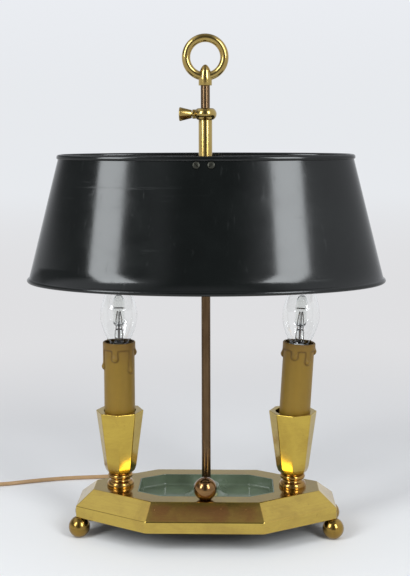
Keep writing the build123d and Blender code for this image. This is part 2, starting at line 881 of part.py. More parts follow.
knob_z = rim_z + knob_gap
with BuildPart() as knob:
    with Locations((0, knob_y, knob_z + knob_d / 2 - knob_cut)):
        Sphere(knob_d / 2)
    split(bisect_by=Plane.XY.offset(knob_z), keep=Keep.TOP)
    with BuildSketch(Plane.XY.offset(switch_top_z - switch_h / 2 + turning_gap)):
        with Locations((0, knob_y)):
            Circle(knob_shaft_d / 2)
    extrude(amount=knob_z + knob_cut - switch_top_z + switch_h / 2 - turning_gap)
save(knob, "ball_knob")

with BuildPart() as block:
    with BuildSketch(Plane.XY.offset(plate_top_z)):
        with Locations((block_x, block_y)):
            Rectangle(block_l, block_w)
    extrude(amount=block_h)
    with BuildSketch(Plane.XZ.offset(-block_y - block_w / 2)):
        with Locations((block_x, plate_top_z + block_h / 2)):
            with GridLocations(block_l / block_ways, 0, block_ways, 1):
                Circle(block_hole_d / 2)
    extrude(amount=block_w, mode=Mode.SUBTRACT)
save(block, "terminal_block")

# Cord: gland in the back of the band, tube along the table, coil and plug
back_y = tray_w / 2
gland_in_y = back_y - wall - gland_flange_t
gland_tip_y = back_y + gland_cone_l
with BuildPart() as gland:
    with BuildSketch(Plane.YZ.offset(0)):
        with BuildLine():
            Polyline(
                (gland_in_y, gland_z + cord_d / 2),
                (gland_in_y, gland_z + gland_flange_d / 2),
                (back_y - wall, gland_z + gland_flange_d / 2),
                (back_y - wall, gland_z + gland_body_d / 2),
                (back_y, gland_z + gland_body_d / 2),
                (back_y, gland_z + gland_cone_d / 2),
                (gland_tip_y, gland_z + gland_tip_d / 2),
                (gland_tip_y, gland_z + cord_d / 2),
                close=True,
            )
        make_face()
    revolve(axis=Axis((0, 0, gland_z), (0, 1, 0)))
save(gland, "cord_gland")

floor = cord_d / 2
route = [
    (0, back_y - wall, gland_z),
    (0, 101, gland_z),
    (-3, 138, 3.2),
    (-32, 165, floor),
    (-70, 154, floor),
    (-114, 145.5, floor),
    (-158, 140, floor),
    (-195, 128.5, floor),
    (-222, 117.5, floor),
    (-246, 118.2, floor),
    (coil_x + 0.4, coil_y + coil_r, floor),
]
runs = [hypot(*(b - a for a, b in zip(p, q))) for p, q in zip(route, route[1:])]
turns = [
    Vector(*(b - a for a, b in zip(p, q))).get_angle(Vector(*(c - b for b, c in zip(q, r))))
    for p, q, r in zip(route, route[1:], route[2:])
]
bends = [
    0.45 * min(before, after) / tan(radians(turn) / 2)
    for before, after, turn in zip(runs, runs[1:], turns)
]
print("cord arc radii in mm:", [round(bend, 1) for bend in bends])
with BuildPart() as cord:
    with BuildLine() as cord_path:
        FilletPolyline(*route, radius=bends)
    with BuildSketch(Plane(origin=route[0], z_dir=(0, 1, 0))):
        Circle(cord_d / 2)
    sweep(path=cord_path.line)
cord_len = cord_path.wire().length
print(f"cord tube {cord_len:.1f} mm long")
print(f"section times length {pi * cord_d**2 / 4 * cord_len:.0f}, volume {cord.part.volume:.0f}")
save(cord, "cord")

bottom_turns = [coil_mid_d / 2 + cord_d * (k - (coil_columns - 1) / 2) for k in range(coil_columns)]
top_turns = [radius + cord_d / 2 for radius in bottom_turns[:-1]]
with BuildPart() as coil:
    with BuildSketch(upright(coil_x, coil_y)):
        Polygon(
            (bottom_turns[0], cord_d / 2),
            (bottom_turns[-1], cord_d / 2),
            (top_turns[-1], top_turn_z),
            (top_turns[0], top_turn_z),
            align=None,
        )
        offset(amount=cord_d / 2)
    revolve(axis=up_axis(upright(coil_x, coil_y)))
save(coil, "cord_coil")

# Plug: its relief leaves the coil's top turn, and two pins
plug_plane = Plane(
    origin=(coil_x, coil_y + top_turns[-1], top_turn_z), x_dir=(0, 1, 0), z_dir=(-1, 0, 0)
)
with BuildPart() as plug:
    with BuildSketch(plug_plane):
        Circle(relief_tip_d / 2)
    with BuildSketch(plug_plane.offset(relief_l)):
        Circle(relief_base_d / 2)
    loft()
    with BuildSketch(plug_plane.offset(relief_l)):
        RectangleRounded(plug_nose_w, 2 * top_turn_z, plug_round)
    with BuildSketch(plug_plane.offset(relief_l + plug_l)):
        RectangleRounded(plug_w, 2 * top_turn_z, plug_round)
    loft()
save(plug, "plug_body")

with BuildPart() as pins:
    with BuildSketch(plug_plane.offset(relief_l + plug_l)):
        with GridLocations(plug_pin_gap, 0, 2, 1):
            Circle(plug_pin_d / 2)
    extrude(amount=plug_pin_l)
    fillet(pins.faces().group_by(Axis.X)[0].edges(), plug_pin_round)
save(pins, "plug_pins")

print(f"cord in all {cord_len + 2 * pi * sum(bottom_turns + top_turns):.0f} mm")
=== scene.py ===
"""Bouillotte lamp: the finishes and fine shapes of an eight-sided brass lamp with two candle
lights, laid over its packed construction model. Metres, +Z up, and the lamp's front faces -Y.
"""

import math

import bmesh
import bpy
import numpy as np
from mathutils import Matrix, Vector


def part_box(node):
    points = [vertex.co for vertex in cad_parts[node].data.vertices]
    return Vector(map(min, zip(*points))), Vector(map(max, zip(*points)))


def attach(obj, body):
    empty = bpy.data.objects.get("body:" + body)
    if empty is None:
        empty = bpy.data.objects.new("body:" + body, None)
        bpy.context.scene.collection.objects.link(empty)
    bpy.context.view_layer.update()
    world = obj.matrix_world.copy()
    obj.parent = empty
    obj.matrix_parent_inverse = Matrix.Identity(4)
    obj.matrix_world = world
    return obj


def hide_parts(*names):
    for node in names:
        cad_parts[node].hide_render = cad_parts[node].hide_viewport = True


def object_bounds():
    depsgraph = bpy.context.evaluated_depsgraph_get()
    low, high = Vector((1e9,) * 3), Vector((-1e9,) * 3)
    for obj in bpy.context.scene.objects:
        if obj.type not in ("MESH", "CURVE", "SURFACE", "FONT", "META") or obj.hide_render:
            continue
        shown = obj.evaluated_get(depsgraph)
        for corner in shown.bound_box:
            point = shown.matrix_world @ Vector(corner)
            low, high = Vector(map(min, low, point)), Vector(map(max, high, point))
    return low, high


bl_info = {
    "name": "Bouillotte Lamp",
    "version": (1, 0, 0),
    "blender": (4, 5, 0),
    "location": "3D View > Sidebar > Lamp",
    "description": "Builds the brass, paint, wax, glass and cord of a two-candle lamp",
    "category": "Add Mesh",
}

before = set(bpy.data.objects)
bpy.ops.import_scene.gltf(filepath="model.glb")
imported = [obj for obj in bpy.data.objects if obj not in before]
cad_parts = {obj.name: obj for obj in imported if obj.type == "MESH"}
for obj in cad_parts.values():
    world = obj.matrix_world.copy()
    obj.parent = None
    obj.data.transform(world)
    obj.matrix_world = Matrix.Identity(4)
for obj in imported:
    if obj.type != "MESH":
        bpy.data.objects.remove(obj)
cad_box = [list(corner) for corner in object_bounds()]
MM = 0.001
SIDES = ("left", "right")
MERGED = 1e-6  # points closer than this are one
FIXED_PLAY = 0.05 * MM  # radial play of a fixed fit
SLIDING_PLAY = 0.06 * MM  # radial play where a piece slides or turns on another

# Frames of axes that a turned form is carried in: its own X, Y and Z as rows
UPRIGHT = np.eye(3)
TO_THE_LEFT = np.array([(0, 1, 0), (0, 0, -1), (-1, 0, 0)], float)
TO_THE_BACK = np.array([(0, 0, 1), (1, 0, 0), (0, 1, 0)], float)


def leaning(degrees):
    """Axes whose Z leans from upright towards +X."""
    c, s = math.cos(math.radians(degrees)), math.sin(math.radians(degrees))
    return np.array([(c, 0, -s), (0, 1, 0), (s, 0, c)])


# ---------------------------------------------------------------- sizes and colours


def size(name, millimetres, description):
    """A length that is shown in the panel."""
    return bpy.props.FloatProperty(
        name=name, description=description, default=millimetres * MM, unit="LENGTH", precision=4
    )


def colour(name, red, green, blue, description):
    """A linear colour that is shown in the panel."""
    return bpy.props.FloatVectorProperty(
        name=name,
        description=description,
        default=(red, green, blue),
        subtype="COLOR",
        size=3,
        min=0.0,
        max=1.0,
    )


class TraySizes(bpy.types.PropertyGroup):
    """Sizes of the base: the tray, its dish, the ball feet and the ball knob."""

    length: size("Tray length", 244, "Across the two end faces")
    width: size("Tray width", 125.6, "From front to back")
    front: size("Front face", 107, "Length of the front face between its corners")
    end: size("End face", 45, "Length of an end face between its corners")
    band: size("Band height", 10.5, "Height of the upright band")
    bevel: size("Bevel", 15.7, "Level run of the bevel from the band to the rim")
    wall: size("Wall", 3, "Thickness of the casting")
    edge: size("Edge rounding", 0.8, "Rounding along the casting's edges")
    dish_length: size("Dish length", 126, "Across the dish at the rim")
    dish_width: size("Dish width", 61.5, "From front to back of the dish at the rim")
    dish_front: size("Dish front", 82, "Length of the dish's front side")
    dish_end: size("Dish end", 37, "Length of the dish's end side")
    dish_depth: size("Dish depth", 10, "From the rim to the dish's floor")
    dish_lean: size("Dish lean", 1.5, "How far the dish's wall leans in")
    dish_round: size("Dish rounding", 2.4, "Rounding between the dish's wall and floor")
    liner: size("Liner", 1, "Thickness of the painted liner")
    tub: size("Tub wall", 2, "Thickness of the casting under the dish")
    foot: size("Foot", 20, "Diameter of a ball foot")
    foot_flat: size("Foot flat", 0.3, "Cut off the ball where it stands")
    pad: size("Pad", 13, "Diameter of the pad above a foot")
    pad_height: size("Pad height", 8, "From the tray's underside up into its roof")
    knob: size("Knob", 21.4, "Diameter of the ball knob")
    knob_flat: size("Knob flat", 1.2, "Cut off the ball over the rim")


class PostSizes(bpy.types.PropertyGroup):
    """Sizes of the rod, its socket, the carrying ring and the clamp on the rod."""

    rod: size("Rod", 8.5, "Diameter of the rod")
    socket_foot: size("Socket foot", 41, "Diameter of the socket in the dish")
    socket_top: size("Socket top", 25, "Diameter of the socket's bead")
    socket_height: size("Socket height", 12, "Height of the socket")
    socket_bead: size("Socket bead", 2.6, "Rounding of the socket's bead")
    socket_edge: size("Socket edge", 1.2, "Height of the socket's thin edge")
    post: size("Ring post", 12.4, "Diameter of the post that holds the ring")
    post_straight: size("Straight part", 6, "Height where the post's dome starts")
    ring_wire: size("Ring wire", 7.8, "Thickness of the carrying ring")
    tube: size("Tube", 12.7, "Diameter of the sliding tube")
    tube_flange: size("Tube flange", 18, "Diameter of the flange that carries the shade")
    flange_low: size("Flange height", 14, "From the tube's foot to its flange")
    flange_thick: size("Flange thickness", 2.4, "Thickness of the flange")
    collar_end: size("Collar end", 14.5, "Diameter of the collar's flat ends")
    collar: size("Collar", 21, "Largest diameter of the collar")
    boss: size("Boss", 8.6, "Diameter of the boss for the thumbscrew")
    boss_reach: size("Boss reach", 12, "From the rod's middle to the boss's end")
    shank: size("Shank", 4, "Diameter of the thumbscrew's shank")
    head_gap: size("Head gap", 0.4, "Between the boss and the thumbscrew's head")
    head_small: size("Head root", 7.6, "Diameter of the thumbscrew's head near the boss")
    head_large: size("Head end", 13.2, "Diameter of the thumbscrew's head at its end")


class ShadeSizes(bpy.types.PropertyGroup):
    """Sizes of the oval shade and of the screws that hold it."""

    bottom_length: size("Bottom length", 331.4, "Long way across the bottom edge")
    bottom_width: size("Bottom width", 182, "Short way across the bottom edge")
    top_length: size("Top length", 272.8, "Long way across the top edge")
    top_width: size("Top width", 125, "Short way across the top edge")
    height: size("Height", 114.3, "Between the two wired edges")
    sheet: size("Sheet", 1, "Thickness of the sheet metal")
    bead: size("Wired edge", 4.6, "Diameter of the rolled edge")
    screw_gap: size("Screw gap", 13, "Between the two screws of a side")
    screw_drop: size("Screw drop", 5.6, "From the shade's top edge down to the screws")
    screw_head: size("Screw head", 6.4, "Diameter of a screw's head")
    screw_high: size("Head height", 1.7, "Height of a screw's head")
    screw_slot: size("Slot", 0.95, "Width of a screw's slot")
    slot_depth: size("Slot depth", 0.9, "Depth of a screw's slot")


class LightSizes(bpy.types.PropertyGroup):
    """Sizes of a candle light: neck, cup, candle sleeve and bulb."""

    neck_foot: size("Neck foot", 25.4, "Diameter of the turned neck's foot")
    neck_waist: size("Neck waist", 19, "Diameter of the neck's waist")
    neck_bead: size("Neck bead", 23.6, "Diameter of the bead under the cup")
    neck_height: size("Neck height", 12.5, "From the rim to the cup")
    neck_foot_height: size("Neck foot height", 5, "Height of the neck's foot")
    neck_bead_height: size("Neck bead height", 4.7, "Height of the bead under the cup")
    neck_bore: size("Neck bore", 10.1, "Diameter of the bore for the nipple")
    cup_foot: size("Cup foot", 22.5, "Across the corners of the cup's foot")
    cup_heel: size("Cup heel", 27.6, "Across the corners above the foot")
    cup_low: size("Cup low", 30.6, "Across the corners where the straight sides start")
    cup_top: size("Cup top", 45.3, "Across the corners of the cup's top")
    cup_height: size("Cup height", 60.5, "Height of the cup")
    cup_mouth: size("Cup mouth", 32.8, "Diameter of the bore round the leaning candle")
    cup_play: size("Cup play", 1.4, "How much wider the bore is than the upright candle")
    cup_ledge: size("Cup ledge", 29.8, "Diameter of the bore over the ledge")
    cup_bore: size("Cup bore", 22.8, "Diameter of the bore under the ledge")
    cup_bottom: size("Cup bottom", 3.5, "Thickness of the cup's bottom")
    pivot: size("Pivot height", 30.5, "From the cup's foot to the candle's foot")
    sleeve: size("Sleeve", 29, "Diameter of the candle sleeve")
    sleeve_wall: size("Sleeve wall", 1.3, "Thickness of the candle sleeve")
    sleeve_length: size("Sleeve length", 95.6, "Length of the candle sleeve")
    sleeve_seat: size("Sleeve seat", 0.4, "From the pivot to the sleeve's foot")
    wax: size("Wax", 0.8, "How far the wax stands out")
    wax_collar: size("Wax collar", 6.2, "From the sleeve's top to the wax's edge between drips")
    drip: size("Drip", 1.4, "How much further a drip's end stands out")
    drip_width: size("Drip width", 6.6, "Width of a drip at its end")
    bulb_foot: size("Bulb foot height", 93.5, "From the pivot to the top of the bulb's cap")
    bulb: size("Bulb", 35, "Largest diameter of the glass")
    bulb_length: size("Bulb length", 74, "Length of the glass above its cap")
    glass: size("Glass", 0.9, "Thickness of the glass")
    capsule: size("Capsule", 11, "Diameter of the inner capsule")
    capsule_foot: size("Capsule foot", 17, "From the cap to the inner capsule")
    capsule_length: size("Capsule length", 30, "Length of the inner capsule")
    capsule_wall: size("Capsule wall", 0.8, "Thickness of the inner capsule")
    lean: bpy.props.FloatProperty(
        name="Lean",
        description="How far the right candle leans away from the rod",
        default=math.radians(3.4),
        subtype="ANGLE",
    )


class CordSizes(bpy.types.PropertyGroup):
    """Sizes of the cord, its coil and its plug."""

    thick: size("Cord", 4.2, "Diameter of the cord")
    length: size("Cord length", 1800, "Whole length of the cord")
    coil_radius: size("Coil radius", 25.2, "Middle of the coil's turns")
    gland_root: size("Gland root", 7, "Diameter of the gland at the tray")
    gland_tip: size("Gland tip", 5.4, "Diameter of the gland's tip")
    relief_root: size("Relief root", 9, "Diameter of the plug's relief at the plug")
    relief_length: size("Relief length", 36, "Length of the plug's relief")
    plug_length: size("Plug length", 36, "Length of the plug's body")
    plug_width: size("Plug width", 34, "Width of the plug's body at the pins")
    plug_nose: size("Plug nose", 24, "Width of the plug's body at the relief")
    pin: size("Pin", 4, "Diameter of a pin")
    pin_length: size("Pin length", 19, "Length of a pin")
    pin_gap: size("Pin gap", 18.6, "Between the two pins")


class LampColours(bpy.types.PropertyGroup):
    """Linear colours of the finishes."""

    brass: colour("Brass", 0.56, 0.40, 0.072, "Polished and lacquered brass")
    # Deep brass: darkened lacquer in patches, and the painted shade at the cups' feet
    brass_deep: colour("Deep brass", 0.33, 0.20, 0.04, "Where the lacquer has darkened")
    old_brass: colour("Old brass", 0.14, 0.088, 0.046, "Unlacquered brass of the rod")
    tarnish: colour("Tarnish", 0.065, 0.036, 0.018, "Brown spots in the old brass")
    copper: colour("Copper tone", 0.27, 0.145, 0.055, "Worn metal of the ball knob")
    feet: colour("Feet", 0.40, 0.25, 0.05, "Worn brass of the ball feet")
    # Painted reflection: a darker, redder copy of the brass for what the necks mirror
    necks: colour("Necks", 0.42, 0.235, 0.055, "Reddish brass of the turned necks")
    clamp: colour("Clamp brass", 0.44, 0.32, 0.10, "Pale brass of the tube, collar and ring")
    # Painted reflection: the shade's dark underside as mirrored in the tray's front bevel
    patina: colour("Patina", 0.50, 0.22, 0.06, "Reddish patina on the front of the tray")
    shade_paint: colour("Shade paint", 0.0035, 0.0045, 0.0042, "Black-green paint of the shade")
    scratch: colour("Scratch", 0.02, 0.023, 0.022, "Dull scratches in the shade's paint")
    dish_paint: colour("Dish paint", 0.125, 0.165, 0.108, "Grey-green paint of the dish")
    steel: colour("Steel", 0.42, 0.42, 0.41, "Zinc-plated steel")
    screw: colour("Screw steel", 0.055, 0.055, 0.045, "Dull steel of the shade's screws")
    wax: colour("Sleeve", 0.24, 0.143, 0.017, "Ochre of the candle sleeves")
    wash: colour("Brown wash", 0.075, 0.035, 0.010, "Brown glaze in the hollows of the wax")
    resin: colour("Phenolic", 0.02, 0.032, 0.03, "Dark moulding of the lampholders")
    cap: colour("Bulb cap", 0.55, 0.55, 0.56, "Rolled metal of the bulb caps")
    cord: colour("Cord", 0.50, 0.31, 0.15, "Gold-brown sheath of the cord")
    daylight: colour("Daylight", 0.93, 0.975, 1.0, "Cool tint of the soft lights")
    floor: colour("Floor", 0.86, 0.855, 0.85, "Paper under the lamp")
    surround: colour("Surround", 0.80, 0.82, 0.85, "Pale background")
    above: colour("Above", 0.86, 0.88, 0.93, "Background high up")
    middle_ground: colour("Middle ground", 0.74, 0.74, 0.755, "Paper behind the lamp")


class StudioSettings(bpy.types.PropertyGroup):
    """Strengths and sizes of the two soft lights and of the surround."""

    room: bpy.props.FloatProperty(
        name="Room", description="How bright mirrors see the room before the lamp", default=0.14
    )
    fill: bpy.props.FloatProperty(
        name="Fill", description="Strength of the surround on matt faces", default=0.42, min=0.0
    )
    radiance: bpy.props.FloatProperty(
        name="Light", description="Strength of each soft light's face", default=10.2, min=0.0
    )
    light_width: size("Light width", 450, "Width of a soft light")
    light_height: size("Light height", 1000, "Height of a soft light")
    light_distance: size("Light distance", 1600, "From the lamp to a soft light")
    left_turn: bpy.props.FloatProperty(
        name="Left light turn",
        description="How far round from the front the left light stands",
        default=math.radians(47),
        subtype="ANGLE",
    )
    right_turn: bpy.props.FloatProperty(
        name="Right light turn",
        description="How far round from the front the right light stands",
        default=math.radians(38),
        subtype="ANGLE",
    )
    light_rise: bpy.props.FloatProperty(
        name="Light rise",
        description="How far above the level each light stands",
        default=math.radians(29),
        subtype="ANGLE",
    )


GROUPS = {
    "lamp_tray": TraySizes,
    "lamp_post": PostSizes,
    "lamp_shade": ShadeSizes,
    "lamp_light": LightSizes,
    "lamp_cord": CordSizes,
    "lamp_colours": LampColours,
    "lamp_studio": StudioSettings,
}


def settings(group):
    """The scene's values of one property group."""
    return getattr(bpy.context.scene, group)


# ---------------------------------------------------------------- surfaces


def soften(corners, cut, steps=4):
    """An open line of corners with each inner corner P turned into the curve
    (1-t)^2 A + 2t(1-t) P + t^2 B, where A and B lie cut before and after P on the line, or at most
    45% of the way to the next corner. The last axis holds coordinates; others run side by side.
    """
    corners = np.asarray(corners, float)
    inner = corners[1:-1]
    before, after = corners[:-2] - inner, corners[2:] - inner
    before_length = np.linalg.norm(before, axis=-1, keepdims=True)
    after_length = np.linalg.norm(after, axis=-1, keepdims=True)
    cut = np.broadcast_to(cut, len(inner)).reshape(-1, *[1] * (inner.ndim - 1))
    reach = np.minimum(cut, 0.45 * np.minimum(before_length, after_length))
    t = np.linspace(0, 1, steps + 1).reshape(-1, *[1] * inner.ndim)
    start = inner + before / before_length * reach
    end = inner + after / after_length * reach
    curve = (1 - t) ** 2 * start + 2 * t * (1 - t) * inner + t**2 * end
    curve = np.swapaxes(curve, 0, 1).reshape(-1, *inner.shape[1:])
    return np.concatenate([corners[:1], curve, corners[-1:]])


def closed(corners):
    """The same line with its first point again at its end."""
    return np.concatenate([corners, corners[:1]])


def softened_ring(corners, cut, steps=3):
    """A closed ring of corners, each rounded as soften does."""
    wrapped = np.concatenate([corners[-1:], corners, corners[:1]])
    return soften(wrapped, cut, steps)[1:-1]


def arc(start, middle, end, steps=12):
    """Points of the arc from start through middle to end. Its centre c is as far from all three:
    2 (q - p).c = |q|^2 - |p|^2 for two pairs of them.
    """
    p, q, r = (np.array(point, float) for point in (start, middle, end))
    centre = np.linalg.solve(2 * np.array([q - p, r - p]), [q @ q - p @ p, r @ r - p @ p])
    first, through, last = (np.arctan2(*(point - centre)[::-1]) for point in (p, q, r))
    to_middle, to_end = (np.mod(angle - first, 2 * np.pi) for angle in (through, last))
    sweep = to_end if to_middle < to_end else to_end - 2 * np.pi
    angles = first + np.linspace(0, sweep, steps + 1)
    radius = np.linalg.norm(p - centre)
    return centre + radius * np.column_stack([np.cos(angles), np.sin(angles)])


def spline_through(points, leave, arrive, steps=14):
    """A smooth line through points, cubic between neighbours. Its slopes m solve
    m[i-1] h[i] + 2 (h[i-1] + h[i]) m[i] + m[i+1] h[i-1] = 3 (d[i-1] h[i] + d[i] h[i-1]), where h
    is the distance between neighbours and d the slope of the straight line between them.
    """
    points = np.asarray(points, float)
    h = np.linalg.norm(np.diff(points, axis=0), axis=1)
    d = np.diff(points, axis=0) / h[:, None]
    count = len(points)
    system, sides = np.eye(count), np.zeros_like(points)
    inner = np.arange(1, count - 1)
    system[inner, inner - 1], system[inner, inner + 1] = h[1:], h[:-1]
    system[inner, inner] = 2 * (h[:-1] + h[1:])
    sides[1:-1] = 3 * (d[:-1] * h[1:, None] + d[1:] * h[:-1, None])
    sides[0], sides[-1] = (np.array(v) / np.linalg.norm(v) for v in (leave, arrive))
    m = np.linalg.solve(system, sides)
    t = np.linspace(0, 1, steps + 1)[None, :, None]
    p, q, s, e = (a[:, None] for a in (points[:-1], points[1:], m[:-1], m[1:]))
    run = h[:, None, None]
    line = (
        (2 * t**3 - 3 * t**2 + 1) * p
        + (t**3 - 2 * t**2 + t) * run * s
        + (3 * t**2 - 2 * t**3) * q
        + (t**3 - t**2) * run * e
    )
    return np.concatenate([line[:, :-1].reshape(-1, points.shape[1]), points[-1:]])


def turned(profile, centre, axes=UPRIGHT, steps=96):
    """A profile of (radius, height) points carried round a line: centre + r cos(a) X + r sin(a) Y
    + h Z in the given axes, with the profile along the rows and the angle a along the columns.
    """
    r, h = np.asarray(profile, float).T[:, :, None]
    a = np.linspace(0, 2 * np.pi, steps, endpoint=False)
    local = np.stack([r * np.cos(a), r * np.sin(a), h + 0 * a], axis=-1)
    return local @ axes + np.asarray(centre, float)


# A direction that no wire runs in
ASKEW = (0.13, 0.91, 0.39)


def tube(path, radius, sides=10):
    """A round tube along a path: each point plus radius (cos(a) N + sin(a) B), where N and B are
    square to the path's direction.
    """
    path = np.asarray(path, float)
    along = np.gradient(path, axis=0)
    along /= np.linalg.norm(along, axis=1, keepdims=True)
    n = np.cross(along, ASKEW)
    n /= np.linalg.norm(n, axis=1, keepdims=True)
    b = np.cross(along, n)
    a = np.linspace(0, 2 * np.pi, sides, endpoint=False)[None, :, None]
    wall = path[:, None] + radius * (np.cos(a) * n[:, None] + np.sin(a) * b[:, None])
    ends = [np.repeat(path[i][None, None], sides, axis=1) for i in (0, -1)]
    return np.concatenate([ends[0], wall, ends[1]])


def outward(corners):
    """Outward normals of a plan's sides, each side from its corner to the next, anticlockwise."""
    sides = np.roll(corners, -1, axis=0) - corners
    normals = np.column_stack([sides[:, 1], -sides[:, 0]])
    return normals / np.linalg.norm(normals, axis=1, keepdims=True)


def plan(corners, inset):
    """Eight-sided plans moved in by each inset: corner - inset (m + n) / (1 + m.n), where m and n
    are the outward normals of the two sides that meet there.
    """
    normals = outward(corners)
    before = np.roll(normals, 1, axis=0)
    mitre = (before + normals) / (1 + (before * normals).sum(axis=1, keepdims=True))
    return corners - np.reshape(inset, (-1, 1, 1)) * mitre


def eight_corners(length, width, front, end):
    """Corners of a rectangle whose own corners are cut off, counted anticlockwise."""
    quarter = np.array([(length, end), (front, width)]) / 2
    half = np.concatenate([quarter, quarter[::-1] * (-1, 1)])
    return np.concatenate([half, -half])


def kept_inside(centre, radius, corners, steps=40):
    """A level ring of points round centre, at radius or where a side of the plan stops it sooner:
    min(radius, gap / cos), gap being the way to the side and cos its normal along the ray.
    """
    a = np.linspace(0, 2 * np.pi, steps, endpoint=False)
    rays = np.column_stack([np.cos(a), np.sin(a)])
    normals = outward(corners)
    gaps = ((corners - centre) * normals).sum(axis=1)
    reach = (gaps / np.maximum(rays @ normals.T, MERGED)).min(axis=1)
    return centre + np.minimum(radius, reach)[:, None] * rays


def at_height(rings, heights):
    """Level rings of (x, y) points put at their heights."""
    rings = np.asarray(rings, float)
    z = np.broadcast_to(np.reshape(heights, (-1, 1, 1)), rings.shape[:2] + (1,))
    return np.concatenate([rings, z], axis=-1)


def capped(grid):
    """Level rings closed by a point on the Z axis at the height of the first and of the last."""
    ends = [at_height(np.zeros((1, grid.shape[1], 2)), grid[i, 0, 2]) for i in (0, -1)]
    return np.concatenate([ends[0], grid, ends[1]])


def quads(rows, columns, first):
    """Faces between neighbouring points of a grid whose columns close round."""
    row = np.arange(rows - 1)[:, None] * columns + first
    here = row + np.arange(columns)
    beside = row + np.roll(np.arange(columns), -1)
    return np.stack([here, beside, beside + columns, here + columns], axis=-1).reshape(-1, 4)


def piece(
    name, grids, body, material, stands_for=(), crease=40, flats=False, masks=None
):
    """One object from grids of points, with its seams and poles closed and its faces outwards.
    crease is the angle in degrees past which an edge stays sharp, flats keeps broad faces flat
    beside rounded edges, and masks holds values for each point that the finish reads by name.
    """
    starts = np.cumsum([0] + [grid.shape[0] * grid.shape[1] for grid in grids])
    points = np.concatenate([grid.reshape(-1, 3) for grid in grids])
    faces = np.concatenate([quads(*grid.shape[:2], first) for grid, first in zip(grids, starts)])
    mesh = bpy.data.meshes.new(name)
    mesh.from_pydata(points, [], faces)
    for mask, values in (masks or {}).items():
        mesh.attributes.new(mask, "FLOAT", "POINT").data.foreach_set("value", np.ravel(values))
    edit = bmesh.new()
    edit.from_mesh(mesh)
    bmesh.ops.remove_doubles(edit, verts=edit.verts, dist=MERGED)
    bmesh.ops.dissolve_degenerate(edit, edges=edit.edges, dist=MERGED / 10)
    bmesh.ops.recalc_face_normals(edit, faces=edit.faces)
    edit.to_mesh(mesh)
    edit.free()
    mesh.shade_smooth()
    mesh.set_sharp_from_angle(angle=math.radians(crease))
    mesh.materials.append(material)
    made = bpy.data.objects.new(name, mesh)
    bpy.context.scene.collection.objects.link(made)
    if flats:
        weighted = made.modifiers.new("Flat faces", "WEIGHTED_NORMAL")
        weighted.keep_sharp = True
    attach(made, body)
    if stands_for:
        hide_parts(*stands_for)
    return made


def dress(node, material):
    """Give a construction node its finish."""
    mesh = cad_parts[node].data
    mesh.materials.clear()
    mesh.materials.append(material)


def middle(node):
    """The middle of a construction node's box."""
    low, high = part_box(node)
    return (np.array(low) + np.array(high)) / 2


# ---------------------------------------------------------------- finishes


# Places of the sockets of a Mix node that blends colours
MIX_SHARE, MIX_FIRST, MIX_SECOND, MIX_RESULT = 0, 6, 7, 2


class Value:
    """A value in a finish's node tree. Arithmetic on it adds Math nodes."""

    def __init__(self, finish, socket):
        self.finish, self.socket = finish, socket

    def __add__(self, other):
        return self.finish.maths("ADD", self, other)

    def __rsub__(self, other):
        return self.finish.maths("SUBTRACT", other, self)

    def __mul__(self, other):
        return self.finish.maths("MULTIPLY", self, other)

    def __abs__(self):
        return self.finish.maths("ABSOLUTE", self)

    __radd__ = __add__
    __rmul__ = __mul__

    def or_more(self, other):
        """The larger of two values."""
        return self.finish.maths("MAXIMUM", self, other)

    def between(self, low, high):
        """0 at low, 1 at high, and a smooth step in between."""
        return self.finish.node(
            "ShaderNodeMapRange",
            {"interpolation_type": "SMOOTHSTEP"},
            {"Value": self, "From Min": low, "From Max": high},
        )


class Finish:
    """A material or world under construction: its nodes, and the patterns that finishes share."""

    def __init__(self, material):
        self.material = material
        self.material.use_nodes = True
        self.tree = self.material.node_tree
        self.tree.nodes.clear()

    def node(self, kind, settings=None, inputs=None, output=0):
        """Add a node: its settings first, then the values or links of its sockets."""
        made = self.tree.nodes.new(kind)
        for name, value in (settings or {}).items():
            setattr(made, name, value)
        for name, value in (inputs or {}).items():
            socket = made.inputs[name]
            if isinstance(value, Value):
                self.tree.links.new(value.socket, socket)
            else:
                socket.default_value = value
        return Value(self, made.outputs[output]) if made.outputs else None

    def maths(self, operation, *values):
        """The result of one Math node."""
        return self.node("ShaderNodeMath", {"operation": operation}, dict(enumerate(values)))

    def place(self, stretch=(1, 1, 1)):
        """Object coordinates scaled by stretch."""
        coordinates = self.node("ShaderNodeTexCoord", output="Object")
        return self.node("ShaderNodeMapping", inputs={"Vector": coordinates, "Scale": stretch})

    def noise(self, per_metre, detail=3.0, rough=0.55, where=None, warp=0.0):
        """Cloudy values from 0 to 1 with about per_metre spots a metre."""
        return self.node(
            "ShaderNodeTexNoise",
            inputs={
                "Vector": where or self.place(),
                "Scale": per_metre,
                "Detail": detail,
                "Roughness": rough,
                "Distortion": warp,
            },
        )

    def axes(self, vector):
        """The X, Y and Z of a vector."""
        return [self.node("ShaderNodeSeparateXYZ", inputs={0: vector}, output=a) for a in "XYZ"]

    def mask(self, name):
        """The value that a piece holds for each of its points under this name."""
        return self.node("ShaderNodeAttribute", {"attribute_name": name}, output="Fac")

    def blend(self, share, first, second):
        """Colour that goes from first to second as share goes from 0 to 1."""
        first, second = (t if isinstance(t, Value) else (*t, 1) for t in (first, second))
        inputs = {MIX_SHARE: share, MIX_FIRST: first, MIX_SECOND: second}
        return self.node("ShaderNodeMix", {"data_type": "RGBA"}, inputs, MIX_RESULT)

    def bump(self, height, depth, normal=None):
        """Normals for a relief of height times depth metres."""
        inputs = {"Height": height, "Distance": depth, "Strength": 1.0}
        if normal:
            inputs["Normal"] = normal
        return self.node("ShaderNodeBump", inputs=inputs)

    def coat(self, **sockets):
        """Finish the material with a Principled shader of these sockets."""
        inputs = {
            name.replace("_", " ").title().replace("Ior", "IOR"): value
            for name, value in sockets.items()
        }
        if not isinstance(inputs["Base Color"], Value):
            inputs["Base Color"] = (*inputs["Base Color"], 1)
        shader = self.node("ShaderNodeBsdfPrincipled", inputs=inputs)
        self.node("ShaderNodeOutputMaterial", inputs={"Surface": shader})
        return self.material


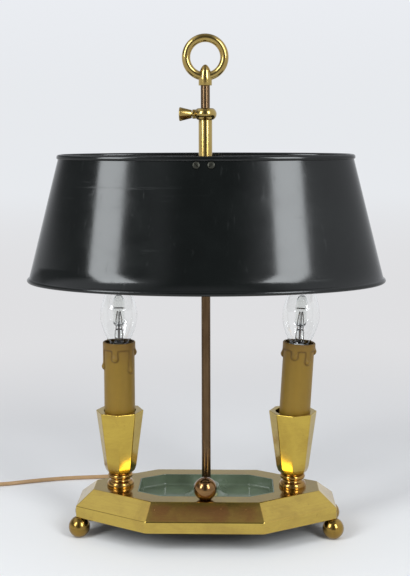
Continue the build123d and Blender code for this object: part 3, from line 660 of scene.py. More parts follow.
def shaded(tone, share):
    """A colour made darker or lighter by a share of itself."""
    return tuple(share * c for c in tone)


def polished_brass(name, tone, deep, lacquer=0.15, painted_shading=None, where=None, worn=1.0):
    """Lacquered brass: deep patches, level polishing lines and small darkened specks. worn scales
    the lines and specks. An optional colour of painted shade and painted reflection lies as
    strongly as where(x, y, z) says.
    """
    made = Finish(bpy.data.materials.new(name))
    clouds = made.noise(38, 4, 0.6, warp=0.6).between(0.36, 0.72)
    specks = made.noise(520, 2, 0.5).between(0.66, 0.80) * worn
    streaks = made.noise(60, 3, 0.65, made.place((1, 1, 16))).between(0.35, 0.75) * worn
    tint = made.blend(clouds * 0.45, tone, deep)
    tint = made.blend(streaks * 0.2, tint, deep)
    tint = made.blend(specks * 0.35, tint, shaded(deep, 0.35))
    if painted_shading:
        # Painted shade and painted reflection, laid on where the mask says
        tint = made.blend(where(*made.axes(made.place())) * (0.45 + clouds * 0.5), tint, painted_shading)
    return made.coat(
        base_color=tint,
        metallic=1.0,
        roughness=0.12 + clouds * 0.08 + streaks * 0.05 + specks * 0.12,
        normal=made.bump(made.noise(60, 2, 0.5), 0.00005),
        coat_weight=lacquer,
        coat_roughness=0.1,
    )


def old_brass(name, tone, tarnish):
    """Unlacquered brass gone brown: tarnish clouds, small marks and rubbed places."""
    made = Finish(bpy.data.materials.new(name))
    along = made.place((1, 1, 0.25))
    clouds = made.noise(75, 4, 0.6, along, warp=0.5).between(0.32, 0.72)
    marks = made.noise(260, 2, 0.5, along).between(0.60, 0.76)
    rubbed = made.noise(30, 2, 0.5).between(0.45, 0.75)
    tint = made.blend(clouds * 0.6, tone, tarnish)
    tint = made.blend(marks * 0.15, tint, tarnish)
    tint = made.blend(rubbed * 0.3, tint, shaded(tone, 1.6))
    return made.coat(
        base_color=tint,
        metallic=1.0,
        roughness=0.26 + clouds * 0.06 + marks * 0.03,
        normal=made.bump(made.noise(50, 2, 0.5), 0.00003),
    )


def shade_enamel(tone, scratch):
    """Black-green paint on sheet metal: dents, orange peel, hair scratches and dull clouds."""
    made = Finish(bpy.data.materials.new("shade_enamel"))
    clouds = made.noise(26, 4, 0.6, warp=0.4).between(0.35, 0.75)
    upright = made.noise(240, 3, 0.7, made.place((1, 1, 0.05)), warp=0.3).between(0.62, 0.70)
    level = made.noise(190, 3, 0.7, made.place((0.06, 0.06, 1))).between(0.63, 0.70)
    scratches = upright.or_more(level)
    tint = made.blend(clouds * 0.5, tone, shaded(tone, 1.7))
    dents = made.bump(made.noise(16, 1, 0.4), 0.00009)
    return made.coat(
        base_color=made.blend(scratches * 0.15, tint, scratch),
        roughness=0.12 + clouds * 0.05 + scratches * 0.08,
        specular_ior_level=0.42,
        normal=made.bump(made.noise(420, 2, 0.5), 0.00001, dents),
    )


def dish_enamel(tone):
    """Grey-green paint, brushed on: faint streaks, dull clouds and small dark specks."""
    made = Finish(bpy.data.materials.new("dish_enamel"))
    streaks = made.noise(120, 3, 0.6, made.place((0.2, 1, 1))).between(0.3, 0.75)
    clouds = made.noise(45, 4, 0.6).between(0.35, 0.7)
    specks = made.noise(700, 2, 0.5).between(0.68, 0.76)
    tint = made.blend(streaks * 0.35, tone, shaded(tone, 1.3))
    tint = made.blend(clouds * 0.4, tint, shaded(tone, 0.72))
    tint = made.blend(specks * 0.6, tint, shaded(tone, 0.3))
    return made.coat(
        base_color=tint,
        roughness=0.16 + clouds * 0.12,
        specular_ior_level=0.6,
        normal=made.bump(made.noise(380, 2, 0.5), 0.00002),
        coat_weight=0.3,
        coat_roughness=0.08,
    )


def sleeve_wax(tone, wash):
    """Moulded sleeve in ochre with a brown wash that gathers round the drips and at the rim."""
    made = Finish(bpy.data.materials.new("sleeve_wax"))
    hollow, upper = made.mask("hollow"), made.mask("upper")
    clouds = made.noise(90, 4, 0.6, warp=0.5).between(0.3, 0.75)
    runs = made.noise(300, 3, 0.6, made.place((1, 1, 0.12))).between(0.35, 0.8)
    tint = made.blend(clouds * 0.30, tone, shaded(tone, 0.78))
    tint = made.blend(runs * 0.22, tint, shaded(tone, 1.25))
    tint = made.blend(upper * (0.2 + clouds * 0.3), tint, shaded(wash, 2.2))
    tint = made.blend(hollow * (0.45 + runs * 0.3), tint, wash)
    return made.coat(
        base_color=tint,
        roughness=0.42 + hollow * 0.2,
        normal=made.bump(made.noise(520, 3, 0.6), 0.00003),
        subsurface_weight=0.08,
        subsurface_radius=(0.004, 0.002, 0.001),
        subsurface_scale=1.0,
        specular_ior_level=0.3,
    )


def lamp_glass(name, tint, rough):
    """Clear blown glass."""
    made = Finish(bpy.data.materials.new(name))
    ripple = made.bump(made.noise(60, 1, 0.4), 0.00004)
    return made.coat(
        base_color=tint, transmission_weight=1.0, roughness=rough, ior=1.47, normal=ripple
    )


def dull_metal(name, tone, rough):
    """Plated or rolled steel with faint stains and a fine grain."""
    made = Finish(bpy.data.materials.new(name))
    stains = made.noise(220, 4, 0.6).between(0.35, 0.75)
    tint = made.blend(stains * 0.6, tone, shaded(tone, 0.6))
    grain = made.bump(made.noise(2600, 2, 0.6), 0.000008)
    return made.coat(
        base_color=tint, metallic=1.0, roughness=rough + stains * 0.15, normal=grain
    )


def moulding(name, tone, rough, gloss=0.0):
    """Moulded plastic or resin with slight flow clouds."""
    made = Finish(bpy.data.materials.new(name))
    flow = made.noise(150, 3, 0.55, warp=0.5).between(0.3, 0.75)
    return made.coat(
        base_color=made.blend(flow * 0.5, tone, shaded(tone, 0.75)),
        roughness=rough + flow * 0.08,
        normal=made.bump(made.noise(1800, 2, 0.6), 0.000008),
        coat_weight=gloss,
        coat_roughness=0.1,
    )


def front_bevel_painted_reflection(x, y, z):
    """Painted reflection of the shade's underside: 1 on the tray's front bevel, 0 elsewhere."""
    below_rim, over_band = y.between(-0.047, -0.052), z.between(0.029, 0.031)
    return below_rim * over_band * (1 - abs(x).between(0.044, 0.056))


def cup_heel(x, y, z):
    """Painted shade: 1 at the foot of a cup, 0 on its straight sides."""
    return z.between(0.070, 0.058)


FINISHES = {}


def finish(name):
    """The lamp's finish of this name, made once from the panel's colours."""
    if name not in FINISHES:
        tones = settings("lamp_colours")
        c = {key: tuple(getattr(tones, key)) for key in LampColours.__annotations__}
        makers = {
            # The front bevel's reddish brown is a painted reflection of the shade's underside
            "tray_brass": lambda: polished_brass(
                name, c["brass"], c["brass_deep"], 0.6, c["patina"], front_bevel_painted_reflection
            ),
            # The cups' feet are darkened with painted shade
            "cup_brass": lambda: polished_brass(
                name, c["brass"], c["brass_deep"], 0.15, c["brass_deep"], cup_heel
            ),
            "clamp_brass": lambda: polished_brass(
                name, c["clamp"], c["brass_deep"], 0.3, worn=0.0
            ),
            "knob_brass": lambda: polished_brass(name, c["copper"], c["tarnish"]),
            "foot_brass": lambda: polished_brass(name, c["feet"], c["tarnish"]),
            # The necks' darker, redder brass is a painted reflection
            "neck_brass": lambda: polished_brass(name, c["necks"], c["tarnish"]),
            "rod_brass": lambda: old_brass(name, c["old_brass"], c["tarnish"]),
            "shade_enamel": lambda: shade_enamel(c["shade_paint"], c["scratch"]),
            "dish_enamel": lambda: dish_enamel(c["dish_paint"]),
            "sleeve_wax": lambda: sleeve_wax(c["wax"], c["wash"]),
            "bulb_glass": lambda: lamp_glass(name, (0.985, 0.99, 0.985), 0.0),
            "capsule_glass": lambda: lamp_glass(name, (0.93, 0.94, 0.93), 0.02),
            "zinc_steel": lambda: dull_metal(name, c["steel"], 0.32),
            "screw_steel": lambda: dull_metal(name, c["screw"], 0.38),
            "cap_metal": lambda: dull_metal(name, c["cap"], 0.28),
            "lead_wire": lambda: dull_metal(name, c["tarnish"], 0.4),
            "phenolic": lambda: moulding(name, c["resin"], 0.3),
            "plate_paint": lambda: moulding(name, c["shade_paint"], 0.4),
            "cord_sheath": lambda: moulding(name, c["cord"], 0.3, 0.4),
            "plug_moulding": lambda: moulding(name, shaded(c["cord"], 0.55), 0.35),
        }
        FINISHES[name] = makers[name]()
    return FINISHES[name]


# ---------------------------------------------------------------- stage


def add_light(name, turn, studio):
    """A tall soft light that faces the lamp's middle."""
    low, high = (np.array(corner) for corner in cad_box)
    aim = np.array((0.0, 0.0, (low[2] + high[2]) / 2))
    level = math.cos(studio.light_rise) * studio.light_distance
    place = aim + (
        math.sin(turn) * level,
        -math.cos(turn) * level,
        math.sin(studio.light_rise) * studio.light_distance,
    )
    lamp = bpy.data.lights.new(name, "AREA")
    lamp.shape = "RECTANGLE"
    lamp.size, lamp.size_y = studio.light_width, studio.light_height
    lamp.color = settings("lamp_colours").daylight
    lamp.energy = studio.radiance * math.pi * studio.light_width * studio.light_height
    made = bpy.data.objects.new(name, lamp)
    made.location = place
    made.rotation_euler = (math.pi / 2 - studio.light_rise, 0, turn)
    bpy.context.scene.collection.objects.link(made)


# Where the camera stands and how it is turned, its focal length in millimetres and lens shift
CAMERA_PLACE = (0.0251, -0.99968, 0.385)
CAMERA_TURN = (math.pi / 2 - 0.10, 0.0028, 0.0262)
FOCAL_LENGTH = 67.39
LENS_SHIFT = (0.0014, -0.0953)


def add_camera():
    """The camera: about level with the collar, a metre in front, with the lens shifted down."""
    lens = bpy.data.cameras.new("camera")
    lens.lens = FOCAL_LENGTH
    lens.shift_x, lens.shift_y = LENS_SHIFT
    lens.clip_start = 0.05
    made = bpy.data.objects.new("camera", lens)
    made.location, made.rotation_euler = CAMERA_PLACE, CAMERA_TURN
    bpy.context.scene.collection.objects.link(made)
    bpy.context.scene.camera = made


def add_world(tones, studio):
    """A pale surround, and a dim room in front of the lamp that only mirrors and glass see. Matt
    faces are lit by the fill's strength, most of it from above. The room's doorway, sides, back
    and ceiling lie by direction: x, y and z run from -1 to 1.
    """
    world = bpy.data.worlds.new("surround")
    bpy.context.scene.world = world
    made = Finish(world)
    camera, glossy, transmission = (
        made.node("ShaderNodeLightPath", output=f"Is {ray} Ray")
        for ray in ("Camera", "Glossy", "Transmission")
    )
    seen = glossy.or_more(transmission).or_more(camera)
    x, y, z = made.axes(made.node("ShaderNodeTexCoord", output="Generated"))
    doorway = x.between(-0.25, -0.45) * z.between(0.1, 0.25) * z.between(0.7, 0.5)
    side = abs(x).between(0.15, 0.5) * (1 - doorway * 0.85)
    back = y.between(0.2, 0.6) * (1 - z.between(0.12, 0.32) * 0.6)
    ceiling = z.between(0.8, 0.98) * 0.3
    lit = side.or_more(back).or_more(ceiling)
    room = (studio.room + lit * (1 - studio.room)).or_more(camera)
    fill = (0.35 + z.between(0.2, 0.95) * 1.6) * studio.fill
    strength = seen * room + (1 - seen) * fill
    tone = made.blend(z.between(0.0, 0.25), tuple(tones.surround), tuple(tones.above))
    shader = made.node("ShaderNodeBackground", inputs={"Color": tone, "Strength": strength})
    made.node("ShaderNodeOutputWorld", inputs={"Surface": shader})


def floor_paper(tones):
    """Plain paper that goes over into the background's tones behind the lamp, by its distance
    from the lamp in metres.
    """
    made = Finish(bpy.data.materials.new("floor_paper"))
    away = made.node("ShaderNodeVectorMath", {"operation": "LENGTH"}, {0: made.place()}, output=1)
    paper = made.node(
        "ShaderNodeBsdfPrincipled",
        inputs={"Base Color": (*tones.floor, 1), "Roughness": 0.7, "Specular IOR Level": 0.2},
    )
    far, hazy = away.between(1.2, 5.5), away.between(0.2, 0.95)
    tone = made.blend(far, tuple(tones.middle_ground), tuple(tones.surround))
    haze = made.node("ShaderNodeEmission", inputs={"Color": tone, "Strength": 1.0})
    shader = made.node("ShaderNodeMixShader", inputs={0: hazy, 1: paper, 2: haze})
    made.node("ShaderNodeOutputMaterial", inputs={"Surface": shader})
    return made.material


FLOOR_REACH = 12.0  # from the lamp to the floor's sides


class LAMP_OT_stage(bpy.types.Operator):
    """Add the floor, the surround, the two soft lights and the camera"""

    bl_idname = "lamp.stage"
    bl_label = "Stage"

    def execute(self, context):
        studio, tones = settings("lamp_studio"), settings("lamp_colours")
        add_camera()
        add_light("left_soft_light", -studio.left_turn, studio)
        add_light("right_soft_light", studio.right_turn, studio)
        add_world(tones, studio)
        mesh = bpy.data.meshes.new("floor")
        rim = np.array([(-1, -1, 0), (1, -1, 0), (1, 1, 0), (-1, 1, 0)]) * FLOOR_REACH
        mesh.from_pydata(rim, [], [(0, 1, 2, 3)])
        mesh.materials.append(floor_paper(tones))
        floor = bpy.data.objects.new("floor", mesh)
        context.scene.collection.objects.link(floor)
        context.scene.view_settings.view_transform = "Standard"
        return {"FINISHED"}


# ---------------------------------------------------------------- cord

# The cord's route from inside its gland to the coil, in metres
ROUTE = [
    (0.0, 0.059, 0.0252),
    (0.0, 0.101, 0.0252),
    (-0.003, 0.138, 0.0032),
    (-0.032, 0.165, 0.0021),
    (-0.070, 0.154, 0.0021),
    (-0.114, 0.1455, 0.0021),
    (-0.158, 0.140, 0.0021),
    (-0.195, 0.1285, 0.0021),
    (-0.222, 0.1175, 0.0021),
    (-0.246, 0.1182, 0.0021),
    (-0.2676, 0.1196, 0.0021),
]
COIL_MIDDLE = np.array((-0.268, 0.086))
BOTTOM_TURNS = 5
TOP_TURNS = 4
POINTS_A_TURN = 24


def coil_stations(thick, radius):
    """Turns travelled, radius and height of the coil's stations. The cord runs inwards on the
    table, moving in by its own thickness over the last sixth of each turn, climbs into the grooves
    of those turns and runs outwards on top, then makes its last half turn over the outer ones.
    """
    outer = radius + thick * (BOTTOM_TURNS - 1) / 2
    inner = radius - thick * (BOTTOM_TURNS - 1) / 2
    layer_step = thick * math.sqrt(0.75)
    table, groove, crest = thick / 2, thick / 2 + layer_step, thick * 1.5
    steps_in, settled, climb_from, climb_to = 300 / 360, 60 / 360, 160 / 360, 300 / 360
    stations = [(0, outer, table)]
    for turn in range(BOTTOM_TURNS):
        last = turn == BOTTOM_TURNS - 1
        stations.append((turn + (climb_from if last else steps_in), outer - thick * turn, table))
        if not last:
            stations.append((turn + 1, outer - thick * (turn + 1), table))
    for layer in range(TOP_TURNS):
        start = BOTTOM_TURNS - 1 + layer
        r = inner + thick * (layer + 0.5)
        stations += [
            (start + climb_to, r, groove),
            (start + (climb_to + 1) / 2, r, crest),
            (start + 1, r, groove),
        ]
        if layer < TOP_TURNS - 1:
            stations += [
                (start + 1 + climb_from, r, groove),
                (start + 1 + (climb_from + climb_to) / 2, r + thick / 2, crest),
            ]
    over = start + 1
    top_crest = crest + layer_step
    stations += [
        (over + settled, r, groove),
        (over + climb_from, r, top_crest),
        (over + (climb_from + climb_to) / 2, r - thick / 4, top_crest),
        (over + climb_to, r - thick / 2, groove + layer_step),
        (over + 1, r - thick / 2, groove + layer_step),
    ]
    return np.array(stations)


def coil_points(thick, radius):
    """Control points of the coil, anticlockwise from its far side: the stations' radius and height
    read off at every step round. A control point of a smooth curve stands out from it by
    1 / cos(half a step), so the radius grows by that.
    """
    stations = coil_stations(thick, radius)
    count = round(stations[-1, 0] * POINTS_A_TURN)
    turns = np.arange(1, count + 1) / POINTS_A_TURN
    r = np.interp(turns, stations[:, 0], stations[:, 1]) / math.cos(math.pi / POINTS_A_TURN)
    z = np.interp(turns, stations[:, 0], stations[:, 2])
    a = (turns + 0.25) * 2 * np.pi
    x, y = COIL_MIDDLE
    return np.column_stack([x + r * np.cos(a), y + r * np.sin(a), z])


def plug_shape(cord, start):
    """The plug from its relief's tip to its pins: level sections, each a rounded oblong
    |y/w|^n + |z/h|^n = 1, that lie one behind the other along -X. The relief is ribbed, and
    bends from the cord's place to the plug's by the square of the way that is left.
    """
    relief, body = cord.relief_length, cord.plug_length
    tip, root = cord.gland_tip / 2, cord.relief_root / 2
    nose, wide = cord.plug_nose / 2, cord.plug_width / 2
    middle_y, half = middle("plug_body")[1:]
    groove, rounding = 0.00055, 0.0008
    share = np.concatenate([[0.0], np.linspace(0.12, 0.94, 25)])
    ribs = tip + (root - tip) * share - np.where(np.arange(len(share)) % 2 == 1, 0.0, groove)
    shoulder = relief + np.array([0.0, rounding, 0.003, 0.006])
    x = np.concatenate([share * relief, shoulder, relief + np.array([0.5, 0.97, 1.0]) * body])
    widths = [root, nose * 0.72, nose * 0.93, nose, wide * 0.93, wide, wide - rounding]
    heights = [root, half * 0.72, half * 0.94, half, half, half, half - rounding]
    w, h = np.concatenate([ribs, widths])[:, None], np.concatenate([ribs, heights])[:, None]
    n = np.concatenate([np.full(len(share) + 1, 2.0), [2.6, 3.2, 4, 5, 5, 5]])[:, None]
    a = np.linspace(0, 2 * np.pi, 64, endpoint=False)
    reach = (np.abs(np.cos(a)) ** n + np.abs(np.sin(a)) ** n) ** (-1 / n)
    left = np.clip(1 - x / relief, 0, 1)[:, None] ** 2
    y = middle_y + (start[1] - middle_y) * left + w * reach * np.cos(a)
    z = half + (start[2] - half) * left + h * reach * np.sin(a)
    grid = np.stack([start[0] - x[:, None] + 0 * a, y, z], axis=-1)
    caps = [np.broadcast_to(grid[i].mean(axis=0), (1, len(a), 3)) for i in (0, -1)]
    return np.concatenate([caps[0], grid, caps[1]]), start[0] - relief - body, half


class LAMP_OT_cord(bpy.types.Operator):
    """Lay the cord from its gland to the coil, and add its gland and plug"""

    bl_idname = "lamp.cord"
    bl_label = "Cord"

    def execute(self, context):
        cord = settings("lamp_cord")
        coil = coil_points(cord.thick, cord.coil_radius)
        end = np.array((COIL_MIDDLE[0], *coil[-1, 1:]))
        inside_plug = end - (0.009, 0, 0.0004)
        flex = self.lay(cord, np.concatenate([ROUTE, coil[:-1], [end, inside_plug]]))
        plug, pins = self.add_plug(cord, end)
        self.add_gland(cord)
        return {"FINISHED"}

    def lay(self, cord, points):
        """The cord as one smooth curve with these control points."""
        curve = bpy.data.curves.new("flex", "CURVE")
        curve.dimensions = "3D"
        curve.bevel_depth = cord.thick / 2
        curve.bevel_resolution = 3
        curve.use_fill_caps = True
        line = curve.splines.new("NURBS")
        line.points.add(len(points) - 1)
        line.points.foreach_set("co", np.column_stack([points, np.ones(len(points))]).ravel())
        line.order_u = 3
        line.use_endpoint_u = True
        line.resolution_u = 4
        curve.materials.append(finish("cord_sheath"))
        flex = bpy.data.objects.new("flex", curve)
        bpy.context.scene.collection.objects.link(flex)
        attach(flex, "root")
        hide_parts("cord", "cord_coil")
        return flex

    def add_plug(self, cord, end):
        """The plug's body on the cord's end, and its two pins."""
        grid, pin_x, half = plug_shape(cord, end)
        moulded = finish("plug_moulding")
        plug = piece("plug", [grid], "root", moulded, ["plug_body"])
        r, tip, inside = cord.pin / 2, cord.pin_length, -0.003
        outline = soften([(0, inside), (r, inside), (r, tip), (0, tip)], (0.0001, 0.0014), 6)
        low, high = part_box("plug_pins")
        middle_y = (low[1] + high[1]) / 2
        places = [(pin_x, middle_y + side * cord.pin_gap / 2, half) for side in (-1, 1)]
        grids = [turned(outline, place, TO_THE_LEFT, 32) for place in places]
        pins = piece("pins", grids, "root", finish("cap_metal"), ["plug_pins"])
        return plug, pins

    def add_gland(self, cord):
        """Tapered strain relief with shallow grooves, from inside the band backwards."""
        inside, groove, rounding = -0.003, 0.0005, 0.0003
        low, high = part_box("cord_gland")
        band = settings("lamp_tray").width / 2
        root, tip, bore = cord.gland_root / 2, cord.gland_tip / 2, cord.thick / 2
        reach = high[1] - band
        steps = np.linspace(0.03, 0.97, 26)
        dips = np.where(np.arange(len(steps)) % 4 == 2, groove, 0.0)
        outer = np.column_stack([root + (tip - root) * steps - dips, steps * reach])
        ends = [(bore, inside), (root, inside)], [(tip - rounding, reach), (bore, reach)]
        profile = np.concatenate([ends[0], outer, ends[1]])
        centre = (0, band, middle("cord_gland")[2])
        grid = turned(closed(profile), centre, TO_THE_BACK, 48)
        piece("gland", [grid], "root", finish("plug_moulding"), ["cord_gland"])


# ---------------------------------------------------------------- base


class LAMP_OT_tray(bpy.types.Operator):
    """Cast the eight-sided tray and its bottom plate's finish"""

    bl_idname = "lamp.tray"
    bl_label = "Tray"

    def execute(self, context):
        s = settings("lamp_tray")
        low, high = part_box("tray_casting")
        outer = eight_corners(s.length, s.width, s.front, s.end)
        grids = [self.casting(s, outer, low[2], high[2]), *self.pads(s, outer, low[2])]
        piece(
            "tray", grids, "root", finish("tray_brass"), ["tray_casting"],
            crease=50, flats=True,
        )
        dress("bottom_plate", finish("plate_paint"))
        dress("bottom_plate_screws", finish("zinc_steel"))
        return {"FINISHED"}

    def casting(self, s, outer, foot, rim):
        """The casting's section carried round its eight sides: the dish's seat, the rim, the bevel
        and the band, then back along the inside to the tub.
        """
        bevel_z = foot + s.band
        slope = (rim - bevel_z) / s.bevel
        skin = s.wall / math.sin(math.atan(slope))
        roof = rim - s.wall
        floor = rim - s.dish_depth - s.liner
        dish = eight_corners(s.dish_length, s.dish_width, s.dish_front, s.dish_end)
        seat, tub = s.liner + FIXED_PLAY, s.liner + s.tub
        rings = [
            (dish, s.dish_lean - seat, floor - FIXED_PLAY),
            (dish, -seat, rim),
            (outer, s.bevel, rim),
            (outer, 0, bevel_z),
            (outer, 0, foot),
            (outer, s.wall, foot),
            (outer, s.wall, bevel_z - (skin - s.wall) * slope),
            (outer, skin + (roof - bevel_z) / slope, roof),
            (dish, -tub, roof),
            (dish, -tub, floor - s.tub),
        ]
        rows = [softened_ring(plan(c, inset)[0], s.edge) for c, inset, z in rings]
        grid = capped(at_height(rows, [z for c, inset, z in rings]))
        edge = s.edge
        cuts = (edge, edge / 3, edge, edge, edge / 2, edge / 3, edge, edge, edge, edge)
        return soften(grid, cuts)

    def pads(self, s, outer, foot):
        """Round pads over the feet, kept inside the band."""
        inside = plan(outer, s.wall / 4)[0]
        under = foot + s.edge / 8
        pads = []
        for node in foot_nodes():
            ring = kept_inside(middle(node)[:2], s.pad / 2, inside)
            face = at_height([ring * 0 + ring.mean(axis=0), ring], [under, under])
            pads.append(np.concatenate([face, face[::-1] + (0, 0, s.pad_height)]))
        return pads


def foot_nodes():
    """Names of the four feet's construction nodes."""
    return [f"foot_{row}_{side}" for row in ("front", "rear") for side in SIDES]


class LAMP_OT_dish(bpy.types.Operator):
    """Press the painted liner of the dish and turn the rod's socket in it"""

    bl_idname = "lamp.dish"
    bl_label = "Dish"

    def execute(self, context):
        s = settings("lamp_tray")
        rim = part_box("tray_casting")[1][2]
        floor = rim - s.dish_depth
        dish = eight_corners(s.dish_length, s.dish_width, s.dish_front, s.dish_end)
        lip, corner = rim + 0.0001, 0.0016
        rings = [
            (s.dish_lean - s.liner, floor - s.liner),
            (-s.liner, lip),
            (0, lip),
            (s.dish_lean, floor),
        ]
        rows = [softened_ring(plan(dish, inset)[0], corner, 4) for inset, z in rings]
        grid = capped(at_height(rows, [z for inset, z in rings]))
        cuts = (0.0004, 0.0002, 0.0003, s.dish_round)
        piece(
            "liner", [soften(grid, cuts, 6)], "root", finish("dish_enamel"), ["dish_liner"],
            crease=60, flats=True,
        )
        self.add_socket(floor)
        return {"FINISHED"}

    def add_socket(self, floor):
        """Boss with a hollow flank and a rounded top, painted like the dish."""
        s = settings("lamp_post")
        foot, top, high = s.socket_foot / 2, s.socket_top / 2, s.socket_height
        bead, bore = s.socket_bead, s.rod / 2 + FIXED_PLAY
        deepest, shoulder = (0.0141, 0.0054), (top, high - bead)
        flank = arc((foot, s.socket_edge), deepest, shoulder)
        cut = bead * (1 - math.sqrt(0.5))
        crown = arc(shoulder, (top - cut, high - cut), (top - bead, high), 8)
        profile = np.concatenate([[(bore, 0), (foot, 0)], flank, crown[1:], [(bore, high)]])
        grid = turned(closed(profile), (0, 0, floor))
        piece(
            "socket", [grid], "root", finish("dish_enamel"), ["rod_socket"],
            crease=35,
        )


def ball(diameter, low_cut, top, steps=40):
    """Profile of a ball that is cut flat at its foot and at height top: r = sqrt(R^2 - h^2)."""
    radius = diameter / 2
    centre = radius - low_cut
    lowest, highest = -centre / radius, min(1.0, (top - centre) / radius)
    angles = np.linspace(math.asin(lowest), math.asin(highest), steps)
    side = np.column_stack([radius * np.cos(angles), centre + radius * np.sin(angles)])
    return np.concatenate([[(0, side[0, 1])], side, [(0, side[-1, 1])]])


class LAMP_OT_feet(bpy.types.Operator):
    """Turn the four ball feet and the ball knob in the front of the rim"""

    bl_idname = "lamp.feet"
    bl_label = "Feet and knob"

    def execute(self, context):
        s = settings("lamp_tray")
        tray_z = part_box("tray_casting")[0][2]
        for node in foot_nodes():
            x, y = middle(node)[:2]
            grid = turned(ball(s.foot, s.foot_flat, tray_z), (x, y, 0), steps=64)
            name = node.replace("foot", "ball_foot")
            piece(name, [grid], "root", finish("foot_brass"), [node])
        low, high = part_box("ball_knob")
        x, y = middle("ball_knob")[:2]
        foot_z = high[2] - s.knob + s.knob_flat
        grid = turned(ball(s.knob, s.knob_flat, s.knob), (x, y, foot_z), steps=96)
        shaft_r, down, into_ball = 0.0015, low[2] - foot_z, 0.001
        shaft = [(0, down), (shaft_r, down), (shaft_r, into_ball), (0, into_ball)]
        piece(
            "knob_ball",
            [grid, turned(shaft, (x, y, foot_z), steps=24)],
            "knob",
            finish("knob_brass"),
            ["ball_knob"],
        )
        return {"FINISHED"}


# ---------------------------------------------------------------- rod, ring and clamp


class LAMP_OT_post(bpy.types.Operator):
    """Turn the rod and the ring's post, and bend the carrying ring"""

    bl_idname = "lamp.post"
    bl_label = "Rod and ring"

    def execute(self, context):
        s = settings("lamp_post")
        brass = finish("rod_brass")
        low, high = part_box("rod")
        r = s.rod / 2
        bar = soften([(0, low[2]), (r, low[2]), (r, high[2]), (0, high[2])], 0.0004)
        grid = turned(bar, (0, 0, 0), steps=64)
        piece("rod_bar", [grid], "root", brass, ["rod"])

        low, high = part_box("ring_post")
        grid = turned(self.post_profile(s, high[2] - low[2]), (0, 0, low[2]), steps=72)
        brass = finish("clamp_brass")
        piece("bullet_post", [grid], "root", brass, ["ring_post"])

        low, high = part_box("carrying_ring")
        wire = s.ring_wire / 2
        ring_r = (high[2] - low[2]) / 2 - wire
        a = np.linspace(0, 2 * np.pi, 37)
        profile = np.column_stack([ring_r + wire * np.cos(a), wire * np.sin(a)])
        grid = turned(profile, (0, 0, (low[2] + high[2]) / 2), TO_THE_BACK, 120)
        piece("ring", [grid], "root", brass, ["carrying_ring"])
        dress("rod_washer", finish("zinc_steel"))
        dress("rod_nut", finish("zinc_steel"))
        return {"FINISHED"}

    def post_profile(self, s, height):
        """Straight foot and a dome up to the tip D:
        (1-t)^3 A + 3t(1-t)^2 B + 3t^2(1-t) C + t^3 D.
        """
        r, straight = s.post / 2, s.post_straight
        corners = [(r, straight), (r, (straight + height) / 2), (r / 2, height), (0, height)]
        a, b, c, d = np.array(corners)
        t = np.linspace(0, 1, 24)[:, None]
        dome = (1 - t) ** 3 * a + 3 * t * (1 - t) ** 2 * b + 3 * t**2 * (1 - t) * c + t**3 * d
        foot = soften([(0, 0), (r, 0), a], 0.0005)
        return np.concatenate([foot[:-1], dome])


class LAMP_OT_clamp(bpy.types.Operator):
    """Turn the sliding tube, its collar and the thumbscrew"""

    bl_idname = "lamp.clamp"
    bl_label = "Tube and collar"

    def execute(self, context):
        s = settings("lamp_post")
        brass = finish("clamp_brass")
        low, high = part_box("sliding_tube")
        collar_low, collar_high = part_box("collar")
        bore = s.rod / 2 + SLIDING_PLAY
        wall, wide = s.tube / 2, s.tube_flange / 2
        z1 = low[2] + s.flange_low
        z2 = z1 + s.flange_thick
        corners = [(bore, low[2]), (wall, low[2]), (wall, z1), (wide, z1), (wide, z2), (wall, z2)]
        corners += [(wall, collar_low[2]), (bore, collar_low[2])]
        profile = soften(corners, 0.0004)
        grid = turned(closed(profile), (0, 0, 0), steps=80)
        piece("tube_slide", [grid], "carriage", brass, ["sliding_tube"], crease=50)

        height = collar_high[2] - collar_low[2]
        end, belly = s.collar_end / 2, s.collar / 2
        side = arc((end, 0), (belly, height / 2), (end, height), 20)
        profile = np.concatenate([[(bore, 0)], side, [(bore, height)]])
        grid = turned(closed(profile), (0, 0, collar_low[2]), steps=96)
        axis_z = (collar_low[2] + collar_high[2]) / 2
        boss, inside = s.boss / 2, 0.0055
        hole = s.shank / 2 + SLIDING_PLAY
        corners = [(hole, inside), (boss, inside), (boss, s.boss_reach), (hole, s.boss_reach)]
        stub = turned(closed(soften(corners, 0.0005)), (0, 0, axis_z), TO_THE_LEFT, 48)
        piece("collar_ring", [grid, stub], "carriage", brass, ["collar"], crease=50)

        low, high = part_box("thumbscrew")
        reach = -low[0]
        head = s.boss_reach + s.head_gap
        shank = s.shank / 2
        small, large = s.head_small / 2, s.head_large / 2
        corners = [(0, -high[0]), (shank, -high[0]), (shank, head), (small, head)]
        rounding = 0.0006
        corners += [(large, reach - rounding), (large * 0.72, reach), (0, reach)]
        cuts = (0.0002, 0.0002, 0.0005, 0.0009, 0.001)
        grid = turned(soften(corners, cuts, 6), (0, 0, axis_z), TO_THE_LEFT, 64)
        piece(
            "thumbscrew_cone", [grid], "thumbscrew", brass, ["thumbscrew"], crease=50
        )
        return {"FINISHED"}


# ---------------------------------------------------------------- shade


def shade_half(s, z, low_z):
    """Half length and half width of the shade's outer face at heights z."""
    share = (z - low_z) / s.height
    half_length = (s.bottom_length + share * (s.top_length - s.bottom_length)) / 2
    half_width = (s.bottom_width + share * (s.top_width - s.bottom_width)) / 2
    return half_length, half_width


